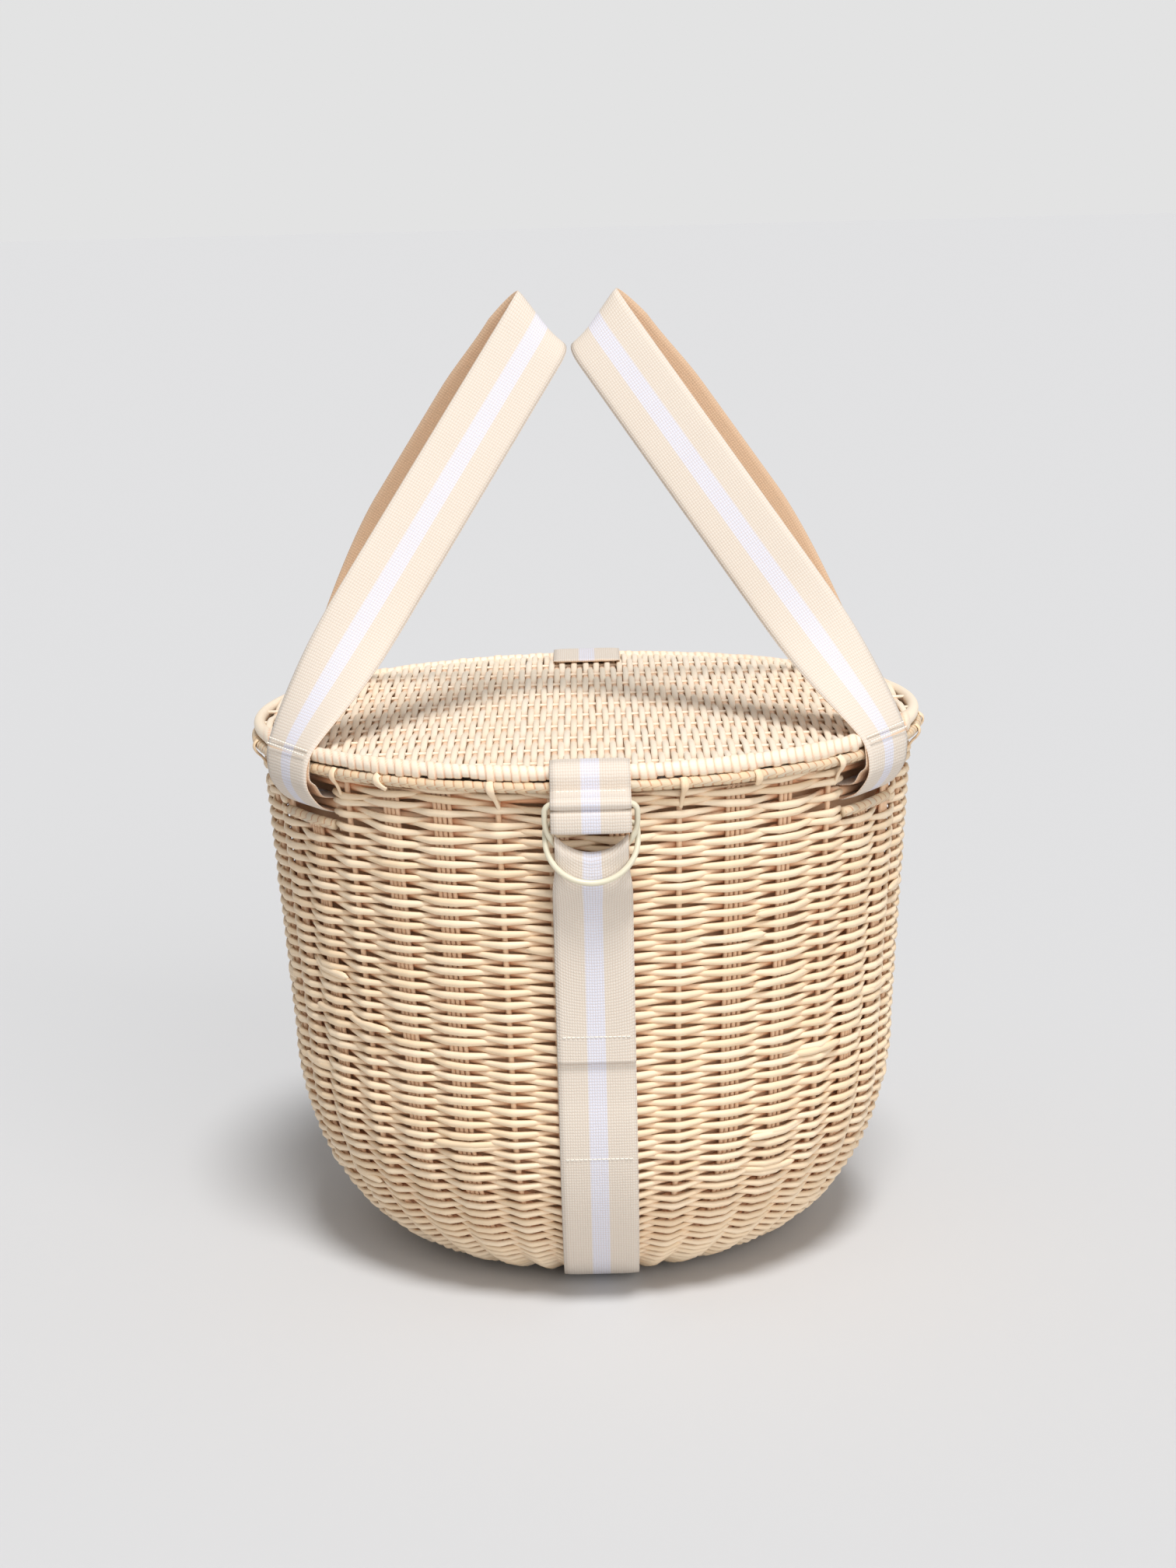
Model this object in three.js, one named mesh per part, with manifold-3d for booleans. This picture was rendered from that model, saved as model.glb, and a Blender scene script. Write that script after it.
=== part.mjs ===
import * as THREE from 'three';
import { mergeVertices } from 'three/addons/utils/BufferGeometryUtils.js';
import Module from 'manifold-3d';

// A round picnic cooler basket of woven cane with a hinged lid, two webbing handles, a closure
// strap with two buckle rings, and an insulated liner. Millimetres, +Z up, the floor is z = 0,
// the basket's axis is the Z axis and the front, with the buckle, faces -Y.

const CLEARANCE = 0.3;

// Woven wall: a bowl with a straight taper above a rounded bottom, measured on its outside.
const WALL_TOP_RADIUS = 171.4;
const WALL_TURN_RADIUS = 159.5;
const WALL_TURN_HEIGHT = 115;
const BASE_RADIUS = 78;
const WEAVE_THICKNESS = 3;
const WEAVE_SWELL = 1.3;
const BASE_MAT_THICKNESS = 8;

// Upright canes inside the weave, one every ten degrees, each third one a single rod.
const COLUMN_COUNT = 36;
const BUNDLE_WIDTH = 9;
const COLUMN_THICKNESS = 3;
const COLUMN_GAP = 0.5;

// Hoops of the basket and the lid.
const LID_HEIGHT = 280;
const LID_HOOP_INSET = 1.7;
const LID_HOOP_THICKNESS = 7.2;
const RIM_HOOP_PROUD = 1.2;
const RIM_HOOP_THICKNESS = 6.2;
const ANCHOR_HOOP_THICKNESS = 5;
const ANCHOR_HOOP_DROP = 26;

// Handle slots in the wall, their lower bars and the handles.
const SLOT_ANGLE = 56.5;
const SLOT_WIDTH = 47.5;
const SLOT_DEPTH = 28.2;
const SLOT_BAR_THICKNESS = 5.2;
const WEBBING_WIDTH = 38;
const WEBBING_THICKNESS = 1.5;
const HANDLE_HEIGHT = 202;
const HANDLE_PEAK_ROUNDING = 30;
const HANDLE_MEETING_OFFSET = -4.5;
const HANDLE_PEAK_GAP = 2.4;
const HANDLE_PEAK_LEAN = 54;
const HANDLE_TWIST_SHARE = 0.45;
const HANDLE_BACK_BOW = 8;
const HANDLE_BOW_START = 0.1;
const HANDLE_BOW_FULL = 0.5;
const HANDLE_BOW_EASE = 0.8;
const HANDLE_CREST_BOW = 5.3;

// Closure strap and buckle rings.
const STRAP_OFFSET = 1;
const STRAP_SEAM_HEIGHT = 206;
const STRAP_END_HEIGHT = 136;
const FOLD_WIDTH = 32;
const RING_WIRE = 2.8;
const RING_INNER_WIDTH = 40.6;
const RING_HEIGHT = 28.5;
const RING_LEG = 8;
const UPPER_RING_OUT = 10.5;
const UPPER_RING_DROP = 11.6;
const UPPER_RING_LEAN = 8.7;
const LOWER_RING_OUT = 1.7;
const LOWER_RING_DROP = 22.6;
const LOWER_RING_LEAN = 24.3;
const LID_TAB_REACH = 9;
const LID_HINGE_REACH = 38;

// Insulated liner and lid pad, from the outside in: cover, foam and foil lining.
const LINER_PLAY = 1.5;
const COVER_THICKNESS = 1.2;
const FOAM_THICKNESS = 6;
const LINING_THICKNESS = 1;
const PAD_DEPTH = 15.8;
const PAD_PLAY = 1.6;

// Woven lid.
const LID_WEAVE_THICKNESS = 2.5;
const LID_WEAVE_SWELL = 1.1;
const LID_ROD_THICKNESS = 2.4;
const LID_ROD_SPACING = 32;
const LID_ROD_OFFSET = -7;

// Facets.
const WALL_SEGMENTS = 2 * COLUMN_COUNT;
const HOOP_SEGMENTS = 60;
const LINER_SEGMENTS = 32;
const BOWL_STEPS = 6;
const LINER_STEPS = 4;
const HOOP_SIDES = 6;
const ROD_SIDES = 5;
const WIRE_SIDES = 6;

const wasm = await Module();
wasm.setup();

const rad = THREE.MathUtils.degToRad;
const HALF_WEBBING = WEBBING_THICKNESS / 2;
const BACK = 180;

// Heights and radii that follow from the sizes above.
const wallFloor = WEBBING_THICKNESS + CLEARANCE;
const rimHoopRadius = WALL_TOP_RADIUS + RIM_HOOP_PROUD;
const lidHoopRadius = rimHoopRadius - LID_HOOP_INSET;
const hoopDistance = LID_HOOP_THICKNESS / 2 + RIM_HOOP_THICKNESS / 2 + CLEARANCE;
const rimHoopDrop = Math.sqrt(hoopDistance ** 2 - LID_HOOP_INSET ** 2);
const rimHoopHeight = LID_HEIGHT - rimHoopDrop;
const rimOutside = rimHoopRadius + RIM_HOOP_THICKNESS / 2;
const wallTop = rimHoopHeight - RIM_HOOP_THICKNESS / 2 - CLEARANCE;
const collarHeight = wallTop - 2 * LINING_THICKNESS;
const columnTop = collarHeight - CLEARANCE;
const linerOffset = WEAVE_THICKNESS + COLUMN_GAP + COLUMN_THICKNESS + CLEARANCE;

// Outlines are lists of points (radius, height).
const at = (radius, height) => new THREE.Vector2(radius, height);

// A bowl's outline from the edge of its flat base to its top, moved inwards by an offset.
function bowlPath({ topRadius, top, turnRadius, turn, baseRadius, base }, offset, steps = BOWL_STEPS) {
  const across = turnRadius - baseRadius;
  const down = turn - base;
  const path = [];
  for (let i = 0; i <= steps; i += 1) {
    const angle = (Math.PI / 2) * (1 - i / steps);
    const point = at(baseRadius + across * Math.cos(angle), turn - down * Math.sin(angle));
    const normal = at(Math.cos(angle) / across, -Math.sin(angle) / down).normalize();
    path.push(point.addScaledVector(normal, -offset));
  }
  const slope = at(topRadius - turnRadius, top - turn).normalize();
  path.push(at(topRadius - offset * slope.y, top));
  return path;
}

const wallShape = {
  topRadius: WALL_TOP_RADIUS,
  top: wallTop,
  turnRadius: WALL_TURN_RADIUS,
  turn: WALL_TURN_HEIGHT,
  baseRadius: BASE_RADIUS,
  base: wallFloor,
};

// The wall's outside radius at a height on its straight taper.
function wallRadius(height) {
  const share = (height - WALL_TURN_HEIGHT) / (wallTop - WALL_TURN_HEIGHT);
  return THREE.MathUtils.lerp(WALL_TURN_RADIUS, WALL_TOP_RADIUS, share);
}

// The inner hoop, and the webbing looped round it, which leaves the hoop's curve across its width.
const anchorHeight = LID_HEIGHT - ANCHOR_HOOP_DROP;
const anchorRadius = wallRadius(anchorHeight) - linerOffset - ANCHOR_HOOP_THICKNESS / 2;
const hoopFlat = anchorRadius * Math.cos(Math.PI / HOOP_SEGMENTS);
const anchorBow = anchorRadius - Math.sqrt(hoopFlat ** 2 - (WEBBING_WIDTH / 2) ** 2);
const anchorWrap = ANCHOR_HOOP_THICKNESS / 2 + CLEARANCE + HALF_WEBBING;

const linerShape = {
  topRadius: anchorRadius - anchorBow - anchorWrap - HALF_WEBBING - CLEARANCE,
  top: columnTop,
  turnRadius: WALL_TURN_RADIUS - linerOffset - LINER_PLAY,
  turn: WALL_TURN_HEIGHT,
  baseRadius: BASE_RADIUS - LINER_PLAY,
  base: wallFloor + linerOffset,
};

// Turns the faces of a closed surface outwards.
function outward(geometry) {
  const { position } = geometry.attributes;
  const index = geometry.index.array;
  const corner = (i) => new THREE.Vector3().fromBufferAttribute(position, index[i]);
  let volume = 0;
  for (let i = 0; i < index.length; i += 3) {
    volume += corner(i).dot(corner(i + 1).cross(corner(i + 2)));
  }
  if (volume < 0) {
    for (let i = 0; i < index.length; i += 3) {
      [index[i + 1], index[i + 2]] = [index[i + 2], index[i + 1]];
    }
  }
  return geometry;
}

function surface(points, index) {
  const geometry = new THREE.BufferGeometry().setFromPoints(points);
  geometry.setIndex(index);
  return outward(geometry);
}

// A solid of revolution about Z; its outline starts and ends on the axis or closes on itself.
function revolve(outline, segments) {
  const geometry = new THREE.LatheGeometry(outline, segments);
  geometry.rotateX(Math.PI / 2);
  geometry.deleteAttribute('normal');
  geometry.deleteAttribute('uv');
  return outward(mergeVertices(geometry, 1e-4));
}

function hoop(radius, thickness, height, segments = HOOP_SEGMENTS) {
  const outline = [];
  for (let i = 0; i <= HOOP_SIDES; i += 1) {
    const angle = (i % HOOP_SIDES) * ((2 * Math.PI) / HOOP_SIDES);
    outline.push(at(radius + (thickness / 2) * Math.cos(angle), height + (thickness / 2) * Math.sin(angle)));
  }
  return revolve(outline, segments);
}

// Skins a list of rings of points, closed end to end or capped at both ends.
function loft(rings, closed = false) {
  const sides = rings[0].length;
  const index = [];
  const spans = closed ? rings.length : rings.length - 1;
  for (let i = 0; i < spans; i += 1) {
    const here = i * sides;
    const next = ((i + 1) % rings.length) * sides;
    for (let j = 0; j < sides; j += 1) {
      const k = (j + 1) % sides;
      index.push(here + j, here + k, next + k, here + j, next + k, next + j);
    }
  }
  if (!closed) {
    const last = (rings.length - 1) * sides;
    for (let j = 1; j < sides - 1; j += 1) {
      index.push(0, j + 1, j, last, last + j, last + j + 1);
    }
  }
  return surface(rings.flat(), index);
}

// A rod of round section along points that lie in a plane with the given normal.
function rod(points, thickness, planeNormal, sides, closed = false) {
  const count = points.length;
  const rings = points.map((point, i) => {
    const before = closed ? points[(i + count - 1) % count] : points[Math.max(i - 1, 0)];
    const after = closed ? points[(i + 1) % count] : points[Math.min(i + 1, count - 1)];
    const side = after.clone().sub(before).cross(planeNormal).normalize();
    return Array.from({ length: sides }, (_, j) => {
      const angle = (2 * Math.PI * j) / sides;
      return point.clone()
        .addScaledVector(side, (thickness / 2) * Math.cos(angle))
        .addScaledVector(planeNormal, (thickness / 2) * Math.sin(angle));
    });
  });
  return loft(rings, closed);
}

// A sheet of webbing through rows of points, each row running across its width.
function sheet(rows, thickness = WEBBING_THICKNESS) {
  const last = rows.length - 1;
  const edge = rows[0].length - 1;
  const normals = rows.map((row, i) => row.map((_, j) => {
    const along = rows[Math.min(i + 1, last)][j].clone().sub(rows[Math.max(i - 1, 0)][j]);
    const across = row[Math.min(j + 1, edge)].clone().sub(row[Math.max(j - 1, 0)]);
    return along.cross(across).normalize();
  }));
  const rings = rows.map((row, i) => {
    const face = (side) => row.map((point, j) => (
      point.clone().addScaledVector(normals[i][j], (side * thickness) / 2)));
    return [...face(1), ...face(-1).reverse()];
  });
  const sides = rings[0].length;
  const index = [];
  for (let i = 0; i < last; i += 1) {
    for (let j = 0; j < sides; j += 1) {
      const a = i * sides + j;
      const b = i * sides + ((j + 1) % sides);
      index.push(a, b, b + sides, a, b + sides, a + sides);
    }
  }
  for (let j = 0; j < edge; j += 1) {
    const far = last * sides;
    const other = sides - 1 - j;
    index.push(j, other, j + 1, other, other - 1, j + 1);
    index.push(far + j, far + j + 1, far + other, far + other, far + j + 1, far + other - 1);
  }
  return surface(rings.flat(), index);
}

// A flat strap across X that follows points (distance in front of the axis, height).
function strap(path, width = WEBBING_WIDTH) {
  return sheet(path.map((p) => [
    new THREE.Vector3(STRAP_OFFSET - width / 2, -p.x, p.y),
    new THREE.Vector3(STRAP_OFFSET + width / 2, -p.x, p.y),
  ]));
}

function smooth(points, perSpan = 2) {
  return new THREE.SplineCurve(points).getPoints((points.length - 1) * perSpan);
}

// Booleans.
function toSolid(geometry) {
  const bare = geometry.clone();
  bare.deleteAttribute('normal');
  bare.deleteAttribute('uv');
  const merged = mergeVertices(bare, 1e-4);
  return new wasm.Manifold(new wasm.Mesh({
    numProp: 3,
    vertProperties: Float32Array.from(merged.attributes.position.array),
    triVerts: Uint32Array.from(merged.index.array),
  }));
}

function toGeometry(solid) {
  const { numProp, vertProperties, triVerts } = solid.getMesh();
  const geometry = new THREE.BufferGeometry();
  geometry.setAttribute('position', new THREE.BufferAttribute(Float32Array.from(vertProperties), numProp));
  geometry.setIndex(Array.from(triVerts));
  return geometry;
}

function cut(geometry, tools) {
  return toGeometry(tools.reduce((solid, tool) => solid.subtract(toSolid(tool)), toSolid(geometry)));
}

function join(geometry, others) {
  return toGeometry(others.reduce((solid, other) => solid.add(toSolid(other)), toSolid(geometry)));
}

function common(geometry, other) {
  return toGeometry(toSolid(geometry).intersect(toSolid(other)));
}

function material(colour, roughness, metalness = 0) {
  return new THREE.MeshStandardMaterial({ color: colour, roughness, metalness });
}

function piece(name, geometry, look) {
  const mesh = new THREE.Mesh(geometry, look);
  mesh.name = name;
  return mesh;
}

const cane = () => material(0xeeddb8, 0.6);
const webbing = () => material(0xe6d8c0, 0.9);
const enamel = () => material(0xe9e6cf, 0.35);

const basket = new THREE.Group();
const lid = new THREE.Group();
lid.position.z = LID_HEIGHT;
const object = new THREE.Group();
object.add(basket, lid);

// The four slots: front and back on the left and the right, each turned from the front.
const slots = {
  left_front: -SLOT_ANGLE,
  left_back: SLOT_ANGLE - BACK,
  right_front: SLOT_ANGLE,
  right_back: BACK - SLOT_ANGLE,
};
const slotFloor = wallTop - SLOT_DEPTH;

function slotCutter(angle) {
  const reach = 4 * WEAVE_THICKNESS + 4 * COLUMN_THICKNESS;
  const height = SLOT_DEPTH + RIM_HOOP_THICKNESS;
  const box = new THREE.BoxGeometry(SLOT_WIDTH, reach, height);
  box.translate(0, -(wallRadius(slotFloor) - reach / 4), slotFloor + height / 2);
  return box.rotateZ(rad(angle));
}

const slotCutters = Object.values(slots).map(slotCutter);

// Base and wall.
const baseMat = revolve([
  at(0, 0),
  at(BASE_RADIUS - CLEARANCE, 0),
  at(BASE_RADIUS - CLEARANCE, BASE_MAT_THICKNESS),
  at(0, BASE_MAT_THICKNESS),
], LINER_SEGMENTS);
const channelWidth = WEBBING_WIDTH + 4 * CLEARANCE;
const channel = new THREE.BoxGeometry(channelWidth, 3 * BASE_RADIUS, 2 * wallFloor);
channel.translate(STRAP_OFFSET, 0, 0);
basket.add(piece('base_mat', cut(baseMat, [channel]), cane()));

// The weave swells out over each upright cane and sinks between two of them.
function weaveWall() {
  const inside = bowlPath(wallShape, WEAVE_THICKNESS).reverse();
  const outlines = [bowlPath(wallShape, WEAVE_SWELL), bowlPath(wallShape, 0)];
  const rings = [];
  for (let i = 0; i < WALL_SEGMENTS; i += 1) {
    const angle = (2 * Math.PI * i) / WALL_SEGMENTS;
    rings.push([...outlines[i % 2], ...inside].map((p) => (
      new THREE.Vector3(p.x * Math.sin(angle), -p.x * Math.cos(angle), p.y))));
  }
  return loft(rings, true);
}

basket.add(piece('wall_weave', cut(weaveWall(), slotCutters), cane()));

// Upright canes: rods and flat bundles inside the weave, standing on a hoop round the base.
function uprights() {
  const depth = WEAVE_THICKNESS + COLUMN_GAP + COLUMN_THICKNESS / 2;
  const path = bowlPath({ ...wallShape, top: columnTop, topRadius: wallRadius(columnTop) }, depth)
    .slice(1)
    .map((p) => new THREE.Vector3(0, -p.x, p.y));
  const single = rod(path, COLUMN_THICKNESS, new THREE.Vector3(1, 0, 0), ROD_SIDES);
  const bundle = sheet(path.map((p) => [
    p.clone().setX(-BUNDLE_WIDTH / 2),
    p.clone().setX(BUNDLE_WIDTH / 2),
  ]), COLUMN_THICKNESS);
  const all = [];
  for (let i = 0; i < COLUMN_COUNT; i += 1) {
    const shape = i % 3 === 1 ? single : bundle;
    all.push(shape.clone().rotateZ(rad(((i + 0.5) * 360) / COLUMN_COUNT)));
  }
  const foot = hoop(-path[0].y, COLUMN_THICKNESS, path[0].z, COLUMN_COUNT);
  return cut(join(foot, all), slotCutters);
}

basket.add(piece('upright_canes', uprights(), cane()));

// Hoops: the rim under the lid and the inner hoop that the handles are looped round.
basket.add(piece('rim_hoop', hoop(rimHoopRadius, RIM_HOOP_THICKNESS, rimHoopHeight), cane()));
basket.add(piece('anchor_hoop', hoop(anchorRadius, ANCHOR_HOOP_THICKNESS, anchorHeight), cane()));

// A short cane bar along the lower edge of each slot.
function slotBar() {
  const height = slotFloor + SLOT_BAR_THICKNESS / 2 + CLEARANCE;
  const radius = wallRadius(height) - SLOT_BAR_THICKNESS / 2;
  const half = Math.asin((SLOT_WIDTH / 2 - CLEARANCE) / (radius + SLOT_BAR_THICKNESS / 2));
  const path = [];
  for (let i = 0; i <= 4; i += 1) {
    const angle = half * (i / 2 - 1);
    path.push(new THREE.Vector3(radius * Math.sin(angle), -radius * Math.cos(angle), height));
  }
  return rod(path, SLOT_BAR_THICKNESS, new THREE.Vector3(0, 0, 1), WIRE_SIDES);
}

// The sewn loop at a handle's end: outside the rims, in through the slot and round the inner
// hoop. Its outer layer is the handle's own, its inner layer the sewn-back end.
const innerLayer = rimOutside + CLEARANCE + HALF_WEBBING;
const outerLayer = innerLayer + WEBBING_THICKNESS + CLEARANCE;

function handleLoop() {
  const side = WEBBING_WIDTH / 2;
  const turns = 6;
  const wrap = anchorWrap / Math.cos(Math.PI / (2 * turns));
  const under = rimHoopHeight - RIM_HOOP_THICKNESS / 2 - 4 * WEBBING_THICKNESS;
  const sewnTop = LID_HEIGHT - CLEARANCE;
  const throughWall = anchorRadius + ANCHOR_HOOP_THICKNESS + COLUMN_THICKNESS;
  const inwards = smooth([
    at(outerLayer, sewnTop),
    at(outerLayer, rimHoopHeight),
    at(outerLayer - WEBBING_THICKNESS, under - WEBBING_THICKNESS),
    at(throughWall + WEBBING_THICKNESS, anchorHeight),
    at(anchorRadius + wrap / 2, anchorHeight - wrap),
  ]);
  const aroundHoop = Array.from({ length: turns + 1 }, (_, i) => {
    const angle = -Math.PI / 2 - (Math.PI * i) / turns;
    return at(
      anchorRadius - anchorBow + wrap * Math.cos(angle),
      anchorHeight + wrap * Math.sin(angle),
    );
  });
  const outwards = smooth([
    at(anchorRadius + wrap / 2, anchorHeight + wrap),
    at(throughWall, anchorHeight + wrap + WEBBING_THICKNESS),
    at(rimHoopRadius, under),
    at(innerLayer - HALF_WEBBING, rimHoopHeight - RIM_HOOP_THICKNESS),
    at(innerLayer, rimHoopHeight),
    at(innerLayer, sewnTop),
  ]);
  return sheet([...inwards, ...aroundHoop, ...outwards].map((p) => [
    new THREE.Vector3(-side, -p.x, p.y),
    new THREE.Vector3(side, -p.x, p.y),
  ]));
}

for (const [name, angle] of Object.entries(slots)) {
  const bar = piece(`slot_bar_${name}`, slotBar(), cane());
  const loop = piece(`handle_loop_${name}`, handleLoop(), webbing());
  bar.rotation.z = rad(angle);
  loop.rotation.z = rad(angle);
  basket.add(bar, loop);
}

// A handle is an arch of webbing from its front loop over a sharp peak to its back loop. At the
// loops its width lies along the wall; it twists upright to the arch's plane and, at the peak,
// leans on the other handle. The back leg is slack and bows outwards.
function handle(side) {
  const outwardAt = new THREE.Vector3(side * Math.sin(rad(SLOT_ANGLE)), -Math.cos(rad(SLOT_ANGLE)), 0);
  const foot = outwardAt.clone().multiplyScalar(outerLayer).setZ(LID_HEIGHT + CLEARANCE);
  const footAcross = new THREE.Vector3(-side * Math.cos(rad(SLOT_ANGLE)), -Math.sin(rad(SLOT_ANGLE)), 0);
  const peakLean = rad(HANDLE_PEAK_LEAN);
  const peakAcross = new THREE.Vector3(-side * Math.cos(peakLean), 0, -Math.sin(peakLean));
  const seen = WEBBING_WIDTH * Math.cos(peakLean) + WEBBING_THICKNESS * Math.sin(peakLean);
  const edge = (seen + HANDLE_PEAK_GAP) / 2;
  const top = new THREE.Vector3(HANDLE_MEETING_OFFSET + side * edge, 0, LID_HEIGHT + HANDLE_HEIGHT);
  const slant = top.clone().sub(foot).setLength(HANDLE_PEAK_ROUNDING / 2).setY(0);
  const peak = top.clone().add(slant);
  const leg = peak.clone().sub(foot);
  const legAcross = new THREE.Vector3(-side * leg.z, 0, -Math.abs(leg.x)).normalize();
  const rounding = leg.clone().normalize().multiplyScalar(-HANDLE_PEAK_ROUNDING);
  const bend = peak.clone().add(rounding);
  const { smoothstep } = THREE.MathUtils;
  const bow = (share) => HANDLE_BACK_BOW * smoothstep(share, HANDLE_BOW_START, HANDLE_BOW_FULL)
    - (HANDLE_BACK_BOW - HANDLE_CREST_BOW) * smoothstep(share, HANDLE_BOW_EASE, 1);
  const backBend = bend.clone().addScaledVector(legAcross, -HANDLE_CREST_BOW).setY(-bend.y);
  const crest = new THREE.QuadraticBezierCurve3(bend, peak, backBend);

  const row = (centre, across) => {
    const half = across.clone().setLength(WEBBING_WIDTH / 2);
    return [centre.clone().sub(half), centre.clone().add(half)];
  };
  const legSteps = 14;
  const legRows = (slack) => Array.from({ length: legSteps }, (_, i) => {
    const share = i / legSteps;
    const twist = smoothstep(share, 0, HANDLE_TWIST_SHARE);
    const centre = foot.clone().lerp(bend, share).addScaledVector(legAcross, -slack * bow(share));
    return row(centre, footAcross.clone().lerp(legAcross, twist));
  });
  const crestSteps = 8;
  const crestRows = Array.from({ length: crestSteps + 1 }, (_, i) => {
    const lean = 1 - Math.abs((2 * i) / crestSteps - 1);
    return row(crest.getPoint(i / crestSteps), legAcross.clone().lerp(peakAcross, lean));
  });
  const backRows = legRows(1).reverse().map((ends) => ends.map((p) => p.setY(-p.y)));
  return sheet([...legRows(0), ...crestRows, ...backRows]);
}

object.add(piece('handle_left_webbing', handle(-1), webbing()));
object.add(piece('handle_right_webbing', handle(1), webbing()));

// Buckle rings: each hangs from its straight bar, which lies along X at the ring's own origin.
function buckleRing() {
  const half = (RING_INNER_WIDTH + RING_WIRE) / 2;
  const corner = RING_LEG / 2;
  const points = [];
  for (let i = 0; i <= 3; i += 1) {
    const angle = (Math.PI / 6) * i;
    points.push([half - corner + corner * Math.sin(angle), corner * Math.cos(angle) - corner]);
  }
  const arcSteps = 16;
  for (let i = 0; i <= arcSteps; i += 1) {
    const angle = (Math.PI * i) / arcSteps;
    points.push([half * Math.cos(angle), -RING_LEG - (RING_HEIGHT - RING_LEG) * Math.sin(angle)]);
  }
  for (let i = 3; i >= 0; i -= 1) points.push([-points[i][0], points[i][1]]);
  const path = points.map(([x, z]) => new THREE.Vector3(x, 0, z));
  return rod(path, RING_WIRE, new THREE.Vector3(0, 1, 0), WIRE_SIDES, true);
}

// Measured from the wall's slope, the upper ring leans inwards and the lower ring outwards.
const wallSlope = Math.atan2(WALL_TOP_RADIUS - WALL_TURN_RADIUS, wallTop - WALL_TURN_HEIGHT);
const upperTilt = -wallSlope - rad(UPPER_RING_LEAN);
const lowerTilt = rad(LOWER_RING_LEAN) - wallSlope;
const upperBar = at(rimOutside + UPPER_RING_OUT, LID_HEIGHT - UPPER_RING_DROP);
const lowerBar = at(rimOutside + LOWER_RING_OUT, LID_HEIGHT - LOWER_RING_DROP);

function hangRing(name, bar, tilt) {
  const ring = piece(name, buckleRing(), enamel());
  ring.position.set(STRAP_OFFSET, -bar.x, bar.y - LID_HEIGHT);
  ring.rotation.x = -tilt;
  lid.add(ring);
}

hangRing('buckle_ring_upper', upperBar, upperTilt);
hangRing('buckle_ring_lower', lowerBar, lowerTilt);

// Webbing sewn round a ring's bar: a strap that ends in an eye.
function strapWithEye(path, bar) {
  const hole = RING_WIRE / 2 + CLEARANCE;
  const eye = (radius, width) => {
    const cylinder = new THREE.CylinderGeometry(radius, radius, width, 16);
    return cylinder.rotateZ(Math.PI / 2).translate(STRAP_OFFSET, -bar.x, bar.y);
  };
  const joined = join(strap(path), [eye(hole + WEBBING_THICKNESS, WEBBING_WIDTH)]);
  return cut(joined, [eye(hole, 2 * WEBBING_WIDTH)]).translate(0, 0, -LID_HEIGHT);
}

// The tab and the fabric hinge both lie on the lid and bend over its hoop.
const overHoop = LID_HOOP_THICKNESS / 2 + CLEARANCE + HALF_WEBBING;
const weaveTop = LID_HOOP_THICKNESS / 2 - CLEARANCE;
const flatOnLid = LID_HEIGHT + weaveTop + CLEARANCE + HALF_WEBBING;

function overLidEdge(reach) {
  return [
    at(lidHoopRadius - reach, flatOnLid),
    at(lidHoopRadius - reach / 2, flatOnLid),
    at(lidHoopRadius, LID_HEIGHT + overHoop),
    at(lidHoopRadius + overHoop * Math.SQRT1_2, LID_HEIGHT + overHoop * Math.SQRT1_2),
    at(innerLayer, LID_HEIGHT - HALF_WEBBING),
  ];
}

const eyeOutside = RING_WIRE / 2 + CLEARANCE + WEBBING_THICKNESS;
const tabPath = smooth([
  ...overLidEdge(LID_TAB_REACH),
  at(innerLayer, rimHoopHeight),
  at(innerLayer + WEBBING_THICKNESS, upperBar.y + eyeOutside + HALF_WEBBING),
  at(upperBar.x - WEBBING_THICKNESS, upperBar.y + eyeOutside - HALF_WEBBING),
]);
lid.add(piece('lid_front_tab', strapWithEye(tabPath, upperBar), webbing()));

const tailPath = smooth([
  at(innerLayer, upperBar.y + WEBBING_THICKNESS),
  at(innerLayer, lowerBar.y + eyeOutside + WEBBING_THICKNESS),
  at(lowerBar.x - HALF_WEBBING / 4, lowerBar.y + eyeOutside - HALF_WEBBING),
]);
lid.add(piece('lid_ring_tail', strapWithEye(tailPath, lowerBar), webbing()));

// The closure strap runs up the back, under the base and up the front to its seam.
const strapCentre = CLEARANCE + HALF_WEBBING;
const strapTop = rimHoopHeight - RIM_HOOP_THICKNESS - 2 * WEBBING_THICKNESS;
const besideWall = (top) => bowlPath({ ...wallShape, top, topRadius: wallRadius(top) }, -strapCentre);
const strapPath = [
  ...besideWall(strapTop).reverse().map((p) => at(-p.x, p.y)),
  ...besideWall(STRAP_SEAM_HEIGHT),
];
basket.add(piece('closure_strap', strap(strapPath), webbing()));

// The fabric hinge carries on from the strap's back end, over both hoops onto the lid.
const onBack = (height) => at(wallRadius(height) + strapCentre, height);
const hingePath = [
  ...smooth([
    ...overLidEdge(LID_HINGE_REACH),
    at(innerLayer, rimHoopHeight),
    at(innerLayer - HALF_WEBBING, rimHoopHeight - RIM_HOOP_THICKNESS / 2 - WEBBING_THICKNESS),
    onBack(strapTop + 2 * WEBBING_THICKNESS),
  ]),
  onBack(strapTop + CLEARANCE),
].map((p) => at(-p.x, p.y));
const hinge = strap(hingePath).translate(0, 0, -LID_HEIGHT);
lid.add(piece('lid_hinge_webbing', hinge, webbing()));

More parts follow.
